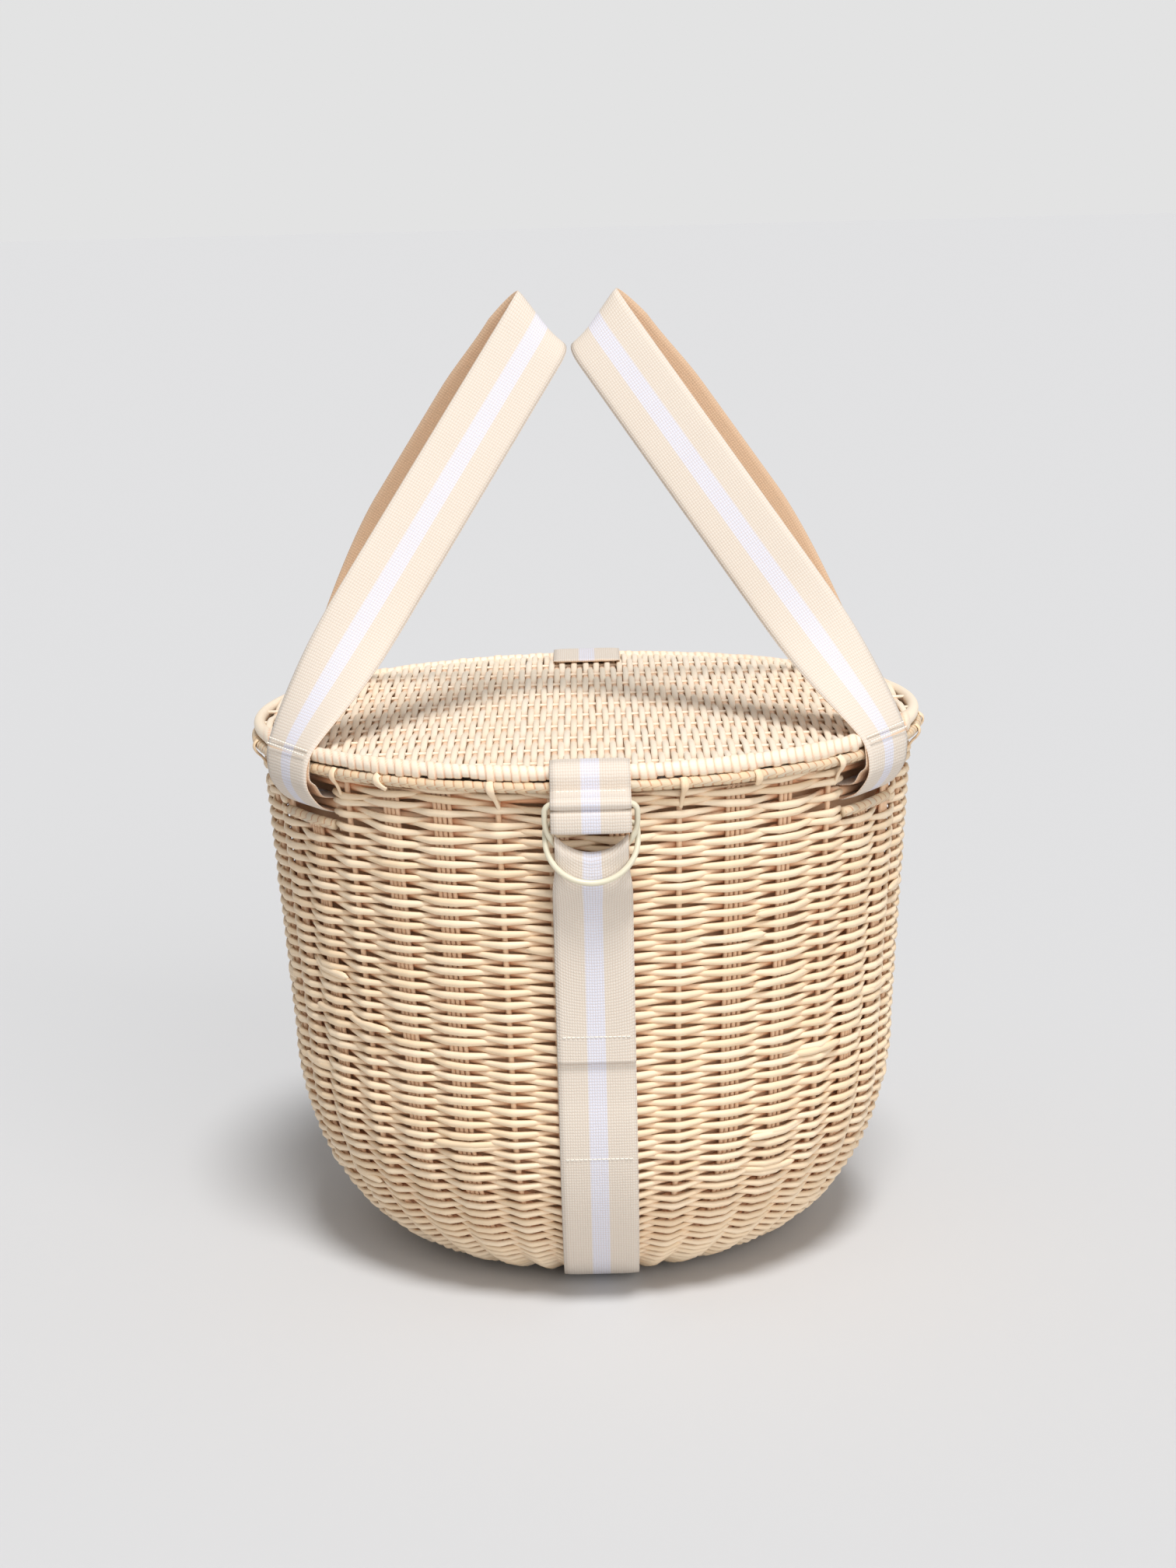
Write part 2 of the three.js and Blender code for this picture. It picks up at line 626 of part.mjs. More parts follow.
// The strap's threaded end: behind and over the upper ring, down in front of it and behind the
// lower ring. Its fold follows the ring's arc, so each line along it has a fold of its own.
function threadedEnd() {
  const stations = 5;
  const wrap = RING_WIRE / 2 + CLEARANCE + HALF_WEBBING;
  const halfRing = (RING_INNER_WIDTH + RING_WIRE) / 2;
  const frontGap = strapCentre + WEBBING_THICKNESS + CLEARANCE;
  const behind = (height) => at(wallRadius(height) + strapCentre, height);
  const infront = (height) => at(wallRadius(height) + frontGap, height);
  const lowest = upperBar.y - RING_HEIGHT * Math.cos(upperTilt);
  const lowestOut = upperBar.x + RING_HEIGHT * Math.sin(upperTilt);
  const lowerRingAt = (height) => lowerBar.x + (lowerBar.y - height) * Math.tan(lowerTilt);
  const lines = [];
  for (let k = 0; k < stations; k += 1) {
    const share = (2 * k) / (stations - 1) - 1;
    const x = (share * FOLD_WIDTH) / 2;
    const rise = Math.sqrt(1 - (x / halfRing) ** 2);
    const reach = RING_LEG + (RING_HEIGHT - RING_LEG) * rise;
    const slope = ((RING_HEIGHT - RING_LEG) * x) / (halfRing ** 2 * rise);
    const radius = wrap * Math.hypot(1, slope);
    const wire = at(upperBar.x + reach * Math.sin(upperTilt), upperBar.y - reach * Math.cos(upperTilt));
    const fold = [];
    for (let i = 0; i <= 4; i += 1) {
      const angle = Math.PI * (1 - i / 4);
      fold.push(at(wire.x + radius * Math.cos(angle), wire.y + radius * Math.sin(angle)));
    }
    const pinned = lowest - 2 * WEBBING_THICKNESS;
    const path = [
      behind(STRAP_SEAM_HEIGHT + CLEARANCE),
      behind(STRAP_SEAM_HEIGHT + 3 * wrap),
      at(lowestOut - wrap - WEBBING_THICKNESS / 2, lowest - 3 * wrap),
      ...fold,
      at(Math.min(lowestOut + wrap, lowerRingAt(pinned) - wrap), pinned),
      at(lowestOut + HALF_WEBBING, lowest - RING_HEIGHT / 2),
      infront(STRAP_SEAM_HEIGHT + 3 * wrap).add(at(WEBBING_THICKNESS, 0)),
      infront(STRAP_SEAM_HEIGHT - WEBBING_WIDTH / 4),
      infront((STRAP_SEAM_HEIGHT + STRAP_END_HEIGHT) / 2),
      infront(STRAP_END_HEIGHT),
    ];
    const widths = path.map((_, i) => (i > 2 && i < 8 ? FOLD_WIDTH : WEBBING_WIDTH));
    widths[2] = (FOLD_WIDTH + WEBBING_WIDTH) / 2;
    widths[8] = FOLD_WIDTH;
    const curve = new THREE.CatmullRomCurve3(
      path.map((p, i) => new THREE.Vector3(STRAP_OFFSET + (share * widths[i]) / 2, -p.x, p.y)),
    );
    lines.push(curve.getPoints(2 * (path.length - 1)));
  }
  return sheet(lines[0].map((_, i) => lines.map((line) => line[i])));
}

basket.add(piece('closure_strap_end', threadedEnd(), webbing()));

// Liner: a cover, a foam shell and a foil lining whose collar closes the gap to the wall.
const linerSkin = (depth, top) => [
  at(0, linerShape.base + depth),
  ...bowlPath({ ...linerShape, top }, depth, LINER_STEPS),
];
const shell = (outer, thickness, top) => revolve([
  ...linerSkin(outer, top),
  ...linerSkin(outer + thickness, top).reverse(),
], LINER_SEGMENTS);
const foamDepth = COVER_THICKNESS + CLEARANCE;
const liningDepth = foamDepth + FOAM_THICKNESS + CLEARANCE;
const wallFlat = Math.cos(Math.PI / WALL_SEGMENTS);
const collarEdge = (wallRadius(collarHeight) - WEAVE_THICKNESS) * wallFlat - CLEARANCE;
const collarTop = collarHeight + LINING_THICKNESS;
basket.add(piece('liner_cover', shell(0, COVER_THICKNESS, columnTop), material(0xcbbda6, 0.9)));
basket.add(piece('liner_foam', shell(foamDepth, FOAM_THICKNESS, columnTop), material(0xf2f2ee, 0.8)));
const lining = revolve([
  ...linerSkin(liningDepth, collarHeight),
  at(collarEdge, collarHeight),
  at(collarEdge, collarTop),
  ...linerSkin(liningDepth + LINING_THICKNESS, collarTop).reverse(),
], LINER_SEGMENTS);
basket.add(piece('liner_foil', lining, material(0xd0d3d6, 0.3, 0.9)));

// Lid: hoop with cross rods, woven top and the padded lining below.
const lidInside = lidHoopRadius - LID_HOOP_THICKNESS / 2 - CLEARANCE;
const weaveUnder = weaveTop - LID_WEAVE_THICKNESS;
const rodHeight = weaveUnder - CLEARANCE - LID_ROD_THICKNESS / 2;
const rodCount = 2 * Math.floor(lidInside / LID_ROD_SPACING);
const rodPlace = (i) => (i - (rodCount - 1) / 2) * LID_ROD_SPACING + LID_ROD_OFFSET;

// The lid's weave swells up over each cross rod and sinks between two of them.
function lidWeave() {
  const disc = revolve([
    at(0, weaveUnder),
    at(lidInside, weaveUnder),
    at(lidInside, weaveTop + LID_WEAVE_SWELL),
    at(0, weaveTop + LID_WEAVE_SWELL),
  ], HOOP_SEGMENTS);
  const ridges = [];
  for (let i = -1; i <= rodCount; i += 1) {
    ridges.push(at(rodPlace(i), weaveTop), at(rodPlace(i + 0.5), weaveTop - LID_WEAVE_SWELL));
  }
  const under = weaveUnder - LID_WEAVE_SWELL;
  const section = new THREE.Shape([at(rodPlace(-1), under), ...ridges, at(rodPlace(rodCount + 0.5), under)]);
  const slab = new THREE.ExtrudeGeometry(section, { depth: 2 * lidHoopRadius, bevelEnabled: false });
  slab.translate(0, 0, -lidHoopRadius).rotateX(Math.PI / 2).rotateZ(Math.PI / 2);
  return common(disc, slab);
}

lid.add(piece('lid_weave', lidWeave(), cane()));

// The cross rods are let into the hoop, which carries them.
function lidFrame() {
  const rods = [];
  for (let i = 0; i < rodCount; i += 1) {
    const y = rodPlace(i);
    const half = Math.sqrt((lidHoopRadius - LID_ROD_THICKNESS / 2) ** 2 - y ** 2);
    const ends = [new THREE.Vector3(-half, y, rodHeight), new THREE.Vector3(half, y, rodHeight)];
    rods.push(rod(ends, LID_ROD_THICKNESS, new THREE.Vector3(0, 0, 1), ROD_SIDES));
  }
  return join(hoop(lidHoopRadius, LID_HOOP_THICKNESS, 0), rods);
}

lid.add(piece('lid_frame', lidFrame(), cane()));

const padTop = rodHeight - LID_ROD_THICKNESS / 2 - CLEARANCE;
const padRadius = linerShape.topRadius - liningDepth - LINING_THICKNESS - PAD_PLAY;
const padFloor = padTop - PAD_DEPTH;
const padSkin = (depth, top) => [
  at(0, padFloor + depth),
  at(padRadius - 2 * PAD_PLAY, padFloor + depth),
  at(padRadius - depth, padFloor + 2 * PAD_PLAY),
  at(padRadius - depth, top),
];
lid.add(piece('lid_lining', revolve([
  ...padSkin(0, padTop),
  ...padSkin(LINING_THICKNESS, padTop).reverse(),
], LINER_SEGMENTS), material(0xd0d3d6, 0.3, 0.9)));
lid.add(piece('lid_foam', revolve([
  ...padSkin(LINING_THICKNESS + CLEARANCE, padTop),
  at(0, padTop),
], LINER_SEGMENTS), material(0xf2f2ee, 0.8)));

export default object;
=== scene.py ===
"""Dresses the picnic cooler basket: cane wall, rims and lid, striped webbing, enamelled rings, liner."""
import functools
import math

import bpy
import numpy as np
from mathutils import Matrix, Vector


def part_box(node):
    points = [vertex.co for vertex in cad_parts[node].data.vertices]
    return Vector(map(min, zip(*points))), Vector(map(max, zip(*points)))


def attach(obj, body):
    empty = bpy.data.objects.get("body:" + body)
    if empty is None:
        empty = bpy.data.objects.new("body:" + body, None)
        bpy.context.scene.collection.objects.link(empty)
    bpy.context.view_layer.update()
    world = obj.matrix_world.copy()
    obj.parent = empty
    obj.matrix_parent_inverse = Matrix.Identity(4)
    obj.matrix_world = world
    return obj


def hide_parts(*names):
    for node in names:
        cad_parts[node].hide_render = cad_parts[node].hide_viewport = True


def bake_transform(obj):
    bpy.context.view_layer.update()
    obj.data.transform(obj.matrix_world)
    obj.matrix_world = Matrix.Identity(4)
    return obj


bl_info = {
    "name": "Picnic Cooler Basket",
    "version": (1, 0, 0),
    "blender": (4, 5, 0),
    "location": "View3D > Sidebar > Basket",
    "description": "Builds the woven surfaces, webbing and liner of a picnic cooler basket",
    "category": "Add Mesh",
}

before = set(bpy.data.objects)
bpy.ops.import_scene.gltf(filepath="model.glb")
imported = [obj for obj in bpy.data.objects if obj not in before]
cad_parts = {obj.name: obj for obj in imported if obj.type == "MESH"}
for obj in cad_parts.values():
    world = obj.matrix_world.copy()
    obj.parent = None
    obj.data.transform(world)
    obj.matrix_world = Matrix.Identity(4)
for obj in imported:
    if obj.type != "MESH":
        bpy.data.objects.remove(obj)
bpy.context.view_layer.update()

MM = 0.001
TAU = 2 * math.pi
ACROSS = np.array([1.0, 0.0, 0.0])
FRONT = np.array([0.0, -1.0, 0.0])
UP = np.array([0.0, 0.0, 1.0])
TO_BACK = np.array([-1, 1])

# Sizes read from the CAD frame.

WALL_LOW, WALL_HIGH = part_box("wall_weave")
LID_HOOP_LOW, LID_HOOP_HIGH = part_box("lid_frame")
RIM_LOW, RIM_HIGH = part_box("rim_hoop")
ANCHOR_LOW, ANCHOR_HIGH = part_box("anchor_hoop")
WALL_TOP = WALL_HIGH[2]
WALL_FLOOR = WALL_LOW[2]
WALL_TOP_RADIUS = WALL_HIGH[0]
RIM_HEIGHT = (RIM_LOW[2] + RIM_HIGH[2]) / 2
RIM_THICK = RIM_HIGH[2] - RIM_LOW[2]
LID_HEIGHT = (LID_HOOP_LOW[2] + LID_HOOP_HIGH[2]) / 2
SLOT_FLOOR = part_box("slot_bar_left_front")[0][2]
ANCHOR_HEIGHT = (ANCHOR_LOW[2] + ANCHOR_HIGH[2]) / 2
STRAP_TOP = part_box("closure_strap")[1][2]

# Sizes of the wall, its columns, its hoops and its slot bars.
WALL_TURN = 115 * MM
WALL_TURN_RADIUS = 159.5 * MM
BASE_RADIUS = 78 * MM
RIM_RADIUS = 172.6 * MM
LID_RADIUS = 170.9 * MM
ANCHOR_RADIUS = 160.9 * MM
COLUMNS = 36
SINGLE_EVERY = 3
COLUMN_DEPTH = 4.3 * MM
BUNDLE_HALF_ANGLE = math.radians(1.75)
SINGLE_HALF_ANGLE = math.radians(0.35)
ROD_WIDTH = 3.0 * MM
BUNDLE_CANE_WIDTH = 2.35 * MM
BUNDLE_SPACING = 2.5 * MM
SLOT_BAR_THICK = 5.2 * MM
SLOT_BAR_PITCH = 5.6 * MM
INNER_HOOP_THICK = 4.9 * MM

# The base: its spokes, where its rows start and end, and how far they reach over and under.
BASE_SPOKES = COLUMNS // 3
BASE_OUTER_ROW = BASE_RADIUS - 2.2 * MM
BASE_INNER_ROW = 12 * MM
BASE_CLOSE_WEAVE = 45 * MM
BASE_REACH = 2.2 * MM

# How far the rows reach in and out of the columns, waver up and down, and swell in and out, and how
# much more they waver between the slots.
WEAVE_REACH = 2.85 * MM
WEAVE_WAVER = 0.5 * MM
WEAVE_SWELL = 0.16 * MM
WEAVE_LOOSE = 1 * MM
LOWER_WEAVE_TOP = 112 * MM

# Angles in degrees from the front towards +X: the slots' middles, half widths and edges.
SLOT_ANGLE = 56.5
SLOT_HALF_ANGLE = 8.1
SLOT_NEAR, SLOT_FAR = 48.2, 64.9
SLOT_BAR_HALF_ANGLE = 7.9
SLOTS = {"left_front": -SLOT_ANGLE, "left_back": SLOT_ANGLE - 180,
         "right_front": SLOT_ANGLE, "right_back": 180 - SLOT_ANGLE}
BETWEEN_SLOTS = ((-SLOT_NEAR, SLOT_NEAR), (SLOT_FAR, 180 - SLOT_FAR),
                 (180 - SLOT_NEAR, 180 + SLOT_NEAR), (180 + SLOT_FAR, 360 - SLOT_FAR))

# Points (radius, height, width) of the canes tied over the rim, and the part a short strip covers.
TIE_POINTS = np.array([[174.2, 276.0, 4.2], [175.9, 274.4, 4.6], [176.2, 272.0, 4.6], [174.8, 269.6, 3.6],
                       [172.4, 267.2, 2.7], [170.6, 264.4, 2.4], [168.4, 260.5, 2.2]]) * MM
STRIP_STATIONS = 14

# The lid: its strands, the shift of its rods, and its rim with the half width that is wound.
STRAND_HEIGHT = LID_HEIGHT + 0.9 * MM
STRAND_WIDTH = 3.5 * MM
STRAND_THICK = 1.7 * MM
STRAND_LIFT = 1.3 * MM
STRAND_RISE_AT_RIM = 0.7 * MM
ROD_OFFSET = -7 * MM
LID_RIM_WIRE = 3.35 * MM
WOUND_REACH = 165.5 * MM
WOUND_FADE = 4 * MM

# Webbing: the gap is from a face that it lies on to its middle.
WEBBING_WIDTH = 38 * MM
WEBBING_COLUMNS = 13
WEBBING_EDGE = 0.35
WEBBING_GAP = 1.05 * MM
RIB_PITCH = 2.5 * MM
WEFT_PITCH = 3.1 * MM
OVER_RIM = RIM_HIGH[0] + WEBBING_GAP
STRAP_X = 1 * MM
STRAP_SEAM = 206 * MM
STRAP_END = 136 * MM
STRAP_TACK = 86 * MM
HEM_DEPTH = 13.5 * MM
STITCH_ROW = 34 * MM
STITCH_PITCH = 2.2 * MM
STITCH_LENGTH = 1.9 * MM
STITCH_WIDTH = 0.7 * MM
STITCH_THICK = 0.4 * MM

# Stitches stand this many thicknesses out from the middle of the first of one or two layers. The gap
# is left between the strap and the end that hangs in front of it.
ON_ONE_LAYER = 0.52
ON_TWO_LAYERS = 1.52
LAYER_GAP = 0.3 * MM

# The hinge's place behind the axis, how far hinge and tab reach in over the lid, and how far the
# eyes reach above and below the rings' bars.
HINGE_REACH = 38 * MM
TAB_REACH = 9 * MM
EYE_REACH = 3.2 * MM

# Handles: the crest's place and lean, the zone over the feet where the webbing bends, and how far
# the back leg bows out and comes back in at the crest.
HANDLE_FOOT = LID_HEIGHT + 0.3 * MM
HANDLE_TWIST = (-0.12, 0.45)
CREST_RISE = 202 * MM
CREST_SHIFT = -4.5 * MM
CREST_LEAN = math.radians(54)
HANDLE_BOW = 8 * MM
HANDLE_BOW_LOST = 2.7 * MM

# Buckle rings: (distance in front of the axis, height) of the bars, and the lean of each ring.
RING_HALF_WIDTH = 21.7 * MM
RING_HEIGHT = 28.5 * MM
RING_LEG = 8 * MM
RING_WIRE = 2.8 * MM
RING_WRAP = 2.45 * MM
FOLD_HALF_WIDTH = 17.4 * MM
UPPER_BAR = (186.2 * MM, 268.4 * MM)
LOWER_BAR = (177.4 * MM, 257.4 * MM)
UPPER_TILT = math.radians(-13.1)
LOWER_TILT = math.radians(19.9)

# Liner: its outer face, the thickness of each skin and the width of the collar.
LINER_BASE = WALL_FLOOR + 6.8 * MM
LINER_BASE_RADIUS = 76.5 * MM
LINER_TURN_RADIUS = 151.2 * MM
LINER_TOP_RADIUS = 155.2 * MM
COVER_DEPTHS = (0, 1.2 * MM)
FOAM_DEPTHS = (1.5 * MM, 7.5 * MM)
FOIL_DEPTHS = (7.8 * MM, 8.8 * MM)
COLLAR_START = 153 * MM
COLLAR_EDGE = 167.4 * MM
POLE_RADIUS = 0.1 * MM
PAD_CORNER = 6 * MM
FILL_CORNER = 4 * MM
FILL_LEDGE = 0.6 * MM

# The photograph's camera: focal length and frame height in pixels, sensor in Blender's millimetres.
FOCAL_PIXELS = 3746
FRAME_PIXELS = 2016
SENSOR = 36
CAMERA_PLACE = (0, -1.5106, 0.5488)
CAMERA_PITCH = math.radians(11.568)
CAMERA_ROLL = math.radians(-1.411)

# Lamps (name, strength, angle in degrees, direction of the light) and the world's strength.
LAMPS = (("key", 2.5, 16, (-0.09, 0.42, -0.9)), ("side", 1.3, 50, (-0.42, 0.86, -0.28)))
WORLD_STRENGTH = 0.39
BACKDROP = (227, 227, 227)
FLOOR_REACH = 40.0


def linear(red, green, blue):
    """A display colour from 0 to 255 as the scene-linear value that Blender stores."""
    share = np.array([red, green, blue]) / 255
    return tuple(np.where(share <= 0.04045, share / 12.92, ((share + 0.055) / 1.055) ** 2.4))


def length(name, description, default):
    """A size that the panel shows."""
    return bpy.props.FloatProperty(name=name, description=description, default=default, unit="LENGTH")


def colour(name, description, red, green, blue):
    """A colour that the panel shows, given as a display colour."""
    return bpy.props.FloatVectorProperty(name=name, description=description, subtype="COLOR",
                                         default=linear(red, green, blue))


class BasketSizes(bpy.types.PropertyGroup):
    """Sizes that a user may change."""
    weaver_height: length("Weaver Height", "Height of one weaving cane", 4.1 * MM)
    weaver_depth: length("Weaver Depth", "Thickness of one weaving cane", 2.9 * MM)
    row_pitch: length("Row Pitch", "Height between two rows of weaving", 3.0 * MM)
    wrap_pitch: length("Wrap Pitch", "Width of the cane wrapped round the rim", 4.9 * MM)
    strand_pitch: length("Strand Pitch", "Distance between two strands of the lid", 3.2 * MM)
    rod_pitch: length("Rod Pitch", "Distance between two cross rods of the lid", 32 * MM)
    webbing_thickness: length("Webbing Thickness", "Thickness of the webbing", 1.5 * MM)
    stripe_width: length("Stripe Width", "Width of the webbing's pale stripe", 9 * MM)


class BasketColours(bpy.types.PropertyGroup):
    """Colours that a user may change."""
    cane: colour("Cane", "Peeled cane in the light", 246, 225, 196)
    cane_dark: colour("Cane Dark", "Darker canes", 231, 200, 160)
    # Painted shade: the colour that canes darken towards where they lie behind other canes.
    cane_painted_shade: colour("Cane Deep", "Cane between and behind the rows", 240, 160, 108)
    cane_line: colour("Cane Line", "Grain lines and edges of the wound cane", 190, 128, 86)
    # Painted light: a paler copy of the cane for the lid's upturned top.
    cane_lid_painted_light: colour("Cane Lid", "Bleached strands of the lid", 244, 231, 212)
    # Painted shadow: the wound cane is darkened as the lid's rim shading the basket's rim.
    cane_wound_painted_shadow: colour("Cane Wound", "Cane wound round the rim", 208, 192, 167)
    webbing: colour("Webbing", "Cotton webbing", 222, 211, 198)
    webbing_back: colour("Webbing Back", "Reverse of the webbing", 222, 188, 156)
    stripe: colour("Stripe", "Centre stripe of the webbing", 219, 219, 230)
    thread: colour("Thread", "Sewing thread", 246, 242, 232)
    enamel: colour("Enamel", "Enamel of the buckle rings", 224, 216, 191)
    liner_cloth: colour("Liner Cloth", "Cloth outside the liner", 226, 186, 150)
    foil: colour("Foil", "Foil inside the liner", 208, 210, 213)
    backing: colour("Backing", "Cloth under the lid's weave and round the liner's collar", 224, 190, 156)
    foam: colour("Foam", "Foam of the liner", 240, 240, 236)
    floor: colour("Floor", "Floor and backdrop", 206, 206, 207)


def sizes():
    """The sizes on the panel."""
    return bpy.context.scene.basket_sizes


def paint(name, share=1.0):
    """A colour of the panel, darkened to a share of itself."""
    return tuple(np.array(getattr(bpy.context.scene.basket_colours, name)) * share)


# Meshes worked out on grids.

def unit(vectors):
    """Vectors divided by their lengths."""
    return vectors / np.maximum(np.linalg.norm(vectors, axis=-1, keepdims=True), 1e-12)


def slope(points, axis, closed=False):
    """Direction of a grid of points along one axis, by central differences."""
    if closed:
        return unit(np.roll(points, -1, axis) - np.roll(points, 1, axis))
    return unit(np.gradient(points, axis=axis))


def travelled(points):
    """Distance from the first point to each point along a line of points on the axis before last."""
    steps = np.diff(points, axis=-2, prepend=points[..., :1, :])
    return np.linalg.norm(steps, axis=-1).cumsum(-1)


def cells(grid):
    """The four corners of each cell of grid[m, n, s], in order round the cell."""
    return np.stack([grid[:, :-1, :-1], grid[:, :-1, 1:], grid[:, 1:, 1:], grid[:, 1:, :-1]], 3)


def grid_piece(name, points, uv, closed=False, **attributes):
    """One mesh of tubes: points[m, n, s] is tube m, station n and side s. Each side is joined to the
    next, all the way round, and each station to the next, the last to the first if closed. An open
    tube is capped. Attributes are spread over the points."""
    tubes, stations, sides = points.shape[:3]
    index = np.arange(tubes * stations * sides).reshape(tubes, stations, sides)
    joined = np.concatenate([index, index[:, :, :1]], 2)
    joined_uv = np.concatenate([uv, uv[:, :, :1]], 2)
    joined_uv[:, :, -1, 1] = np.where(uv[:, :, 0, 1] < uv[:, :, -1, 1], 1.0, uv[:, :, 0, 1])
    if closed:
        after = joined_uv[:, :1].copy()
        after[..., 0] = joined_uv[:, -1:, :, 0] + (joined_uv[:, 1:2, :, 0] - joined_uv[:, :1, :, 0])
        joined = np.concatenate([joined, joined[:, :1]], 1)
        joined_uv = np.concatenate([joined_uv, after], 1)
    quads = cells(joined).reshape(-1, 4)
    loop_uv = cells(joined_uv).reshape(-1, 2)
    centre = np.broadcast_to(points.mean(2, keepdims=True), points.shape).reshape(-1, 3)
    corners = points.reshape(-1, 3)[quads]
    normal = np.cross(corners[:, 1] - corners[:, 0], corners[:, 3] - corners[:, 0])
    inside_out = np.sum(normal * (corners.mean(1) - centre[quads[:, 0]])) < 0
    starts = np.arange(len(quads)) * 4
    loops = quads.reshape(-1)
    if not closed:
        ends = np.concatenate([index[:, 0, ::-1], index[:, -1]])
        starts = np.concatenate([starts, len(loops) + np.arange(len(ends)) * sides])
        loops = np.concatenate([loops, ends.reshape(-1)])
        loop_uv = np.concatenate([loop_uv, uv.reshape(-1, 2)[ends.reshape(-1)]])
    mesh = bpy.data.meshes.new(name)
    mesh.vertices.add(index.size)
    mesh.vertices.foreach_set("co", points.reshape(-1).astype(np.float32))
    mesh.loops.add(len(loops))
    mesh.loops.foreach_set("vertex_index", loops.astype(np.int32))
    mesh.polygons.add(len(starts))
    mesh.polygons.foreach_set("loop_start", starts.astype(np.int32))
    mesh.uv_layers.new(name="UVMap").data.foreach_set("uv", loop_uv.reshape(-1).astype(np.float32))
    for key, values in attributes.items():
        spread = np.broadcast_to(values, points.shape[:3]).reshape(-1)
        mesh.attributes.new(key, "FLOAT", "POINT").data.foreach_set("value", spread.astype(np.float32))
    mesh.update(calc_edges=True)
    mesh.polygons.foreach_set("use_smooth", np.ones(len(starts), bool))
    if inside_out:
        mesh.flip_normals()
    piece = bpy.data.objects.new(name, mesh)
    bpy.context.scene.collection.objects.link(piece)
    return piece


def canes(name, path, outward, width, depth, sides=6, closed=False, seed=1, **attributes):
    """Canes of oval section along path[m, n]: each section is an ellipse with half its depth along
    outward and half its width across both the path and outward."""
    along = slope(path, 1, closed)
    outward = unit(outward - along * np.sum(outward * along, -1, keepdims=True))
    across = np.cross(along, outward)
    angle = (np.arange(sides) + 0.5) * TAU / sides
    width = np.broadcast_to(width, path.shape[:2])[..., None, None]
    depth = np.broadcast_to(depth, path.shape[:2])[..., None, None]
    points = (path[:, :, None] + across[:, :, None] * np.cos(angle)[:, None] * width / 2
              + outward[:, :, None] * np.sin(angle)[:, None] * depth / 2)
    uv = np.zeros(points.shape[:3] + (2,))
    uv[..., 0] = travelled(path)[:, :, None]
    uv[..., 1] = np.arange(sides) / sides
    chance = np.random.default_rng(seed).random(len(path))
    return grid_piece(name, points, uv, closed, tone=chance[:, None, None], **attributes)


def hoop(name, angles, radius, height, wire, along, closed=True, **attributes):
    """A level hoop of round section: wire[n, s] is the section's radius at station n and side s, and
    along is the first UV coordinate."""
    share = np.arange(wire.shape[1]) / wire.shape[1]
    turn = share * TAU
    points = turned(radius + np.cos(turn) * wire, angles[:, None], height + np.sin(turn) * wire)
    uv = np.stack(np.broadcast_arrays(along, share), -1)
    return grid_piece(name, points[None], uv[None], closed, **attributes)


def cloth(name, points, flip=False):
    """Webbing through points[n, c]: its faces lie half its thickness along and against the grid's
    normal, thinner at both edges. UV is metres across from the middle and metres along."""
    normal = unit(np.cross(slope(points, 0), slope(points, 1)))
    if flip:
        normal = -normal
    columns = points.shape[1]
    share = np.linspace(-1, 1, columns)
    half = sizes().webbing_thickness / 2 * (1 - (1 - WEBBING_EDGE) * np.abs(share) ** 8)
    top = points + normal * half[:, None]
    under = points - normal * half[:, None]
    rings = np.concatenate([top, under[:, ::-1]], 1)[None]
    width = np.linalg.norm(points[:, -1] - points[:, 0], axis=-1)
    uv = np.zeros(rings.shape[:3] + (2,))
    uv[0, :, :, 0] = width[:, None] / 2 * np.concatenate([share, share[::-1]])
    uv[0, :, :, 1] = travelled(points.mean(1))[:, None]
    front = np.concatenate([np.ones(columns), np.zeros(columns)])
    return grid_piece(name, rings, uv, front=front[None, None])


def blend_points(points, per_span=6):
    """A smooth curve through points: cubic spans whose slopes come from the neighbours."""
    points = np.asarray(points, float)
    ends = np.concatenate([2 * points[:1] - points[1:2], points, 2 * points[-1:] - points[-2:-1]])
    t = (np.arange(per_span) / per_span)[None, :, None]
    a, b, c, d = (ends[i:len(ends) - 3 + i, None] for i in range(4))
    spans = 0.5 * (2 * b + (c - a) * t + (2 * a - 5 * b + 4 * c - d) * t ** 2
                   + (3 * b - a - 3 * c + d) * t ** 3)
    return np.concatenate([spans.reshape(-1, points.shape[1]), points[-1:]])


def even(points, count):
    """The same curve with count points spaced evenly along it."""
    reached = travelled(points)
    at = np.linspace(0, reached[-1], count)
    return np.stack([np.interp(at, reached, points[:, i]) for i in range(points.shape[1])], 1)


def wander(seed, rows, angle, waves, reach=1.0):
    """A gentle random wave round a circle for each row: a sum of sines with seeded phases."""
    chance = np.random.default_rng(seed)
    total = np.zeros((rows, len(angle)))
    for wave in range(1, waves + 1):
        phase = chance.random((rows, 1)) * TAU
        size = chance.normal(0, 1, (rows, 1)) / math.sqrt(waves)
        total += size * np.sin(wave * 2 * angle[None] + phase)
    return total * reach


def smooth_share(value, low, high):
    """0 below low and 1 above high, with a smooth rise between them."""
    share = np.clip((value - low) / (high - low), 0, 1)
    return share * share * (3 - 2 * share)


def turned(radius, angle, height):
    """Points at a radius and height, turned by an angle from the front towards +X."""
    return np.stack(np.broadcast_arrays(radius * np.sin(angle), -radius * np.cos(angle), height), -1)


def groove_between(inside, power):
    """1 where two turns of wound cane meet and 0 over most of each turn, from the share of a turn."""
    return np.clip(np.abs(inside - 0.5) * 2, 0, 1) ** power


# The wall's outline: an ellipse quarter above the flat base, then a straight taper.

def wall_outline():
    """Points (radius, height) evenly spaced up the outside of the wall, and their outward normals."""
    turn = np.linspace(math.pi / 2, 0, 120)
    curve = np.stack([BASE_RADIUS + (WALL_TURN_RADIUS - BASE_RADIUS) * np.cos(turn),
                      WALL_TURN - (WALL_TURN - WALL_FLOOR) * np.sin(turn)], 1)
    path = even(np.concatenate([curve, [[WALL_TOP_RADIUS, WALL_TOP]]]), 400)
    along = slope(path, 0)
    return path, np.stack([along[:, 1], -along[:, 0]], 1)


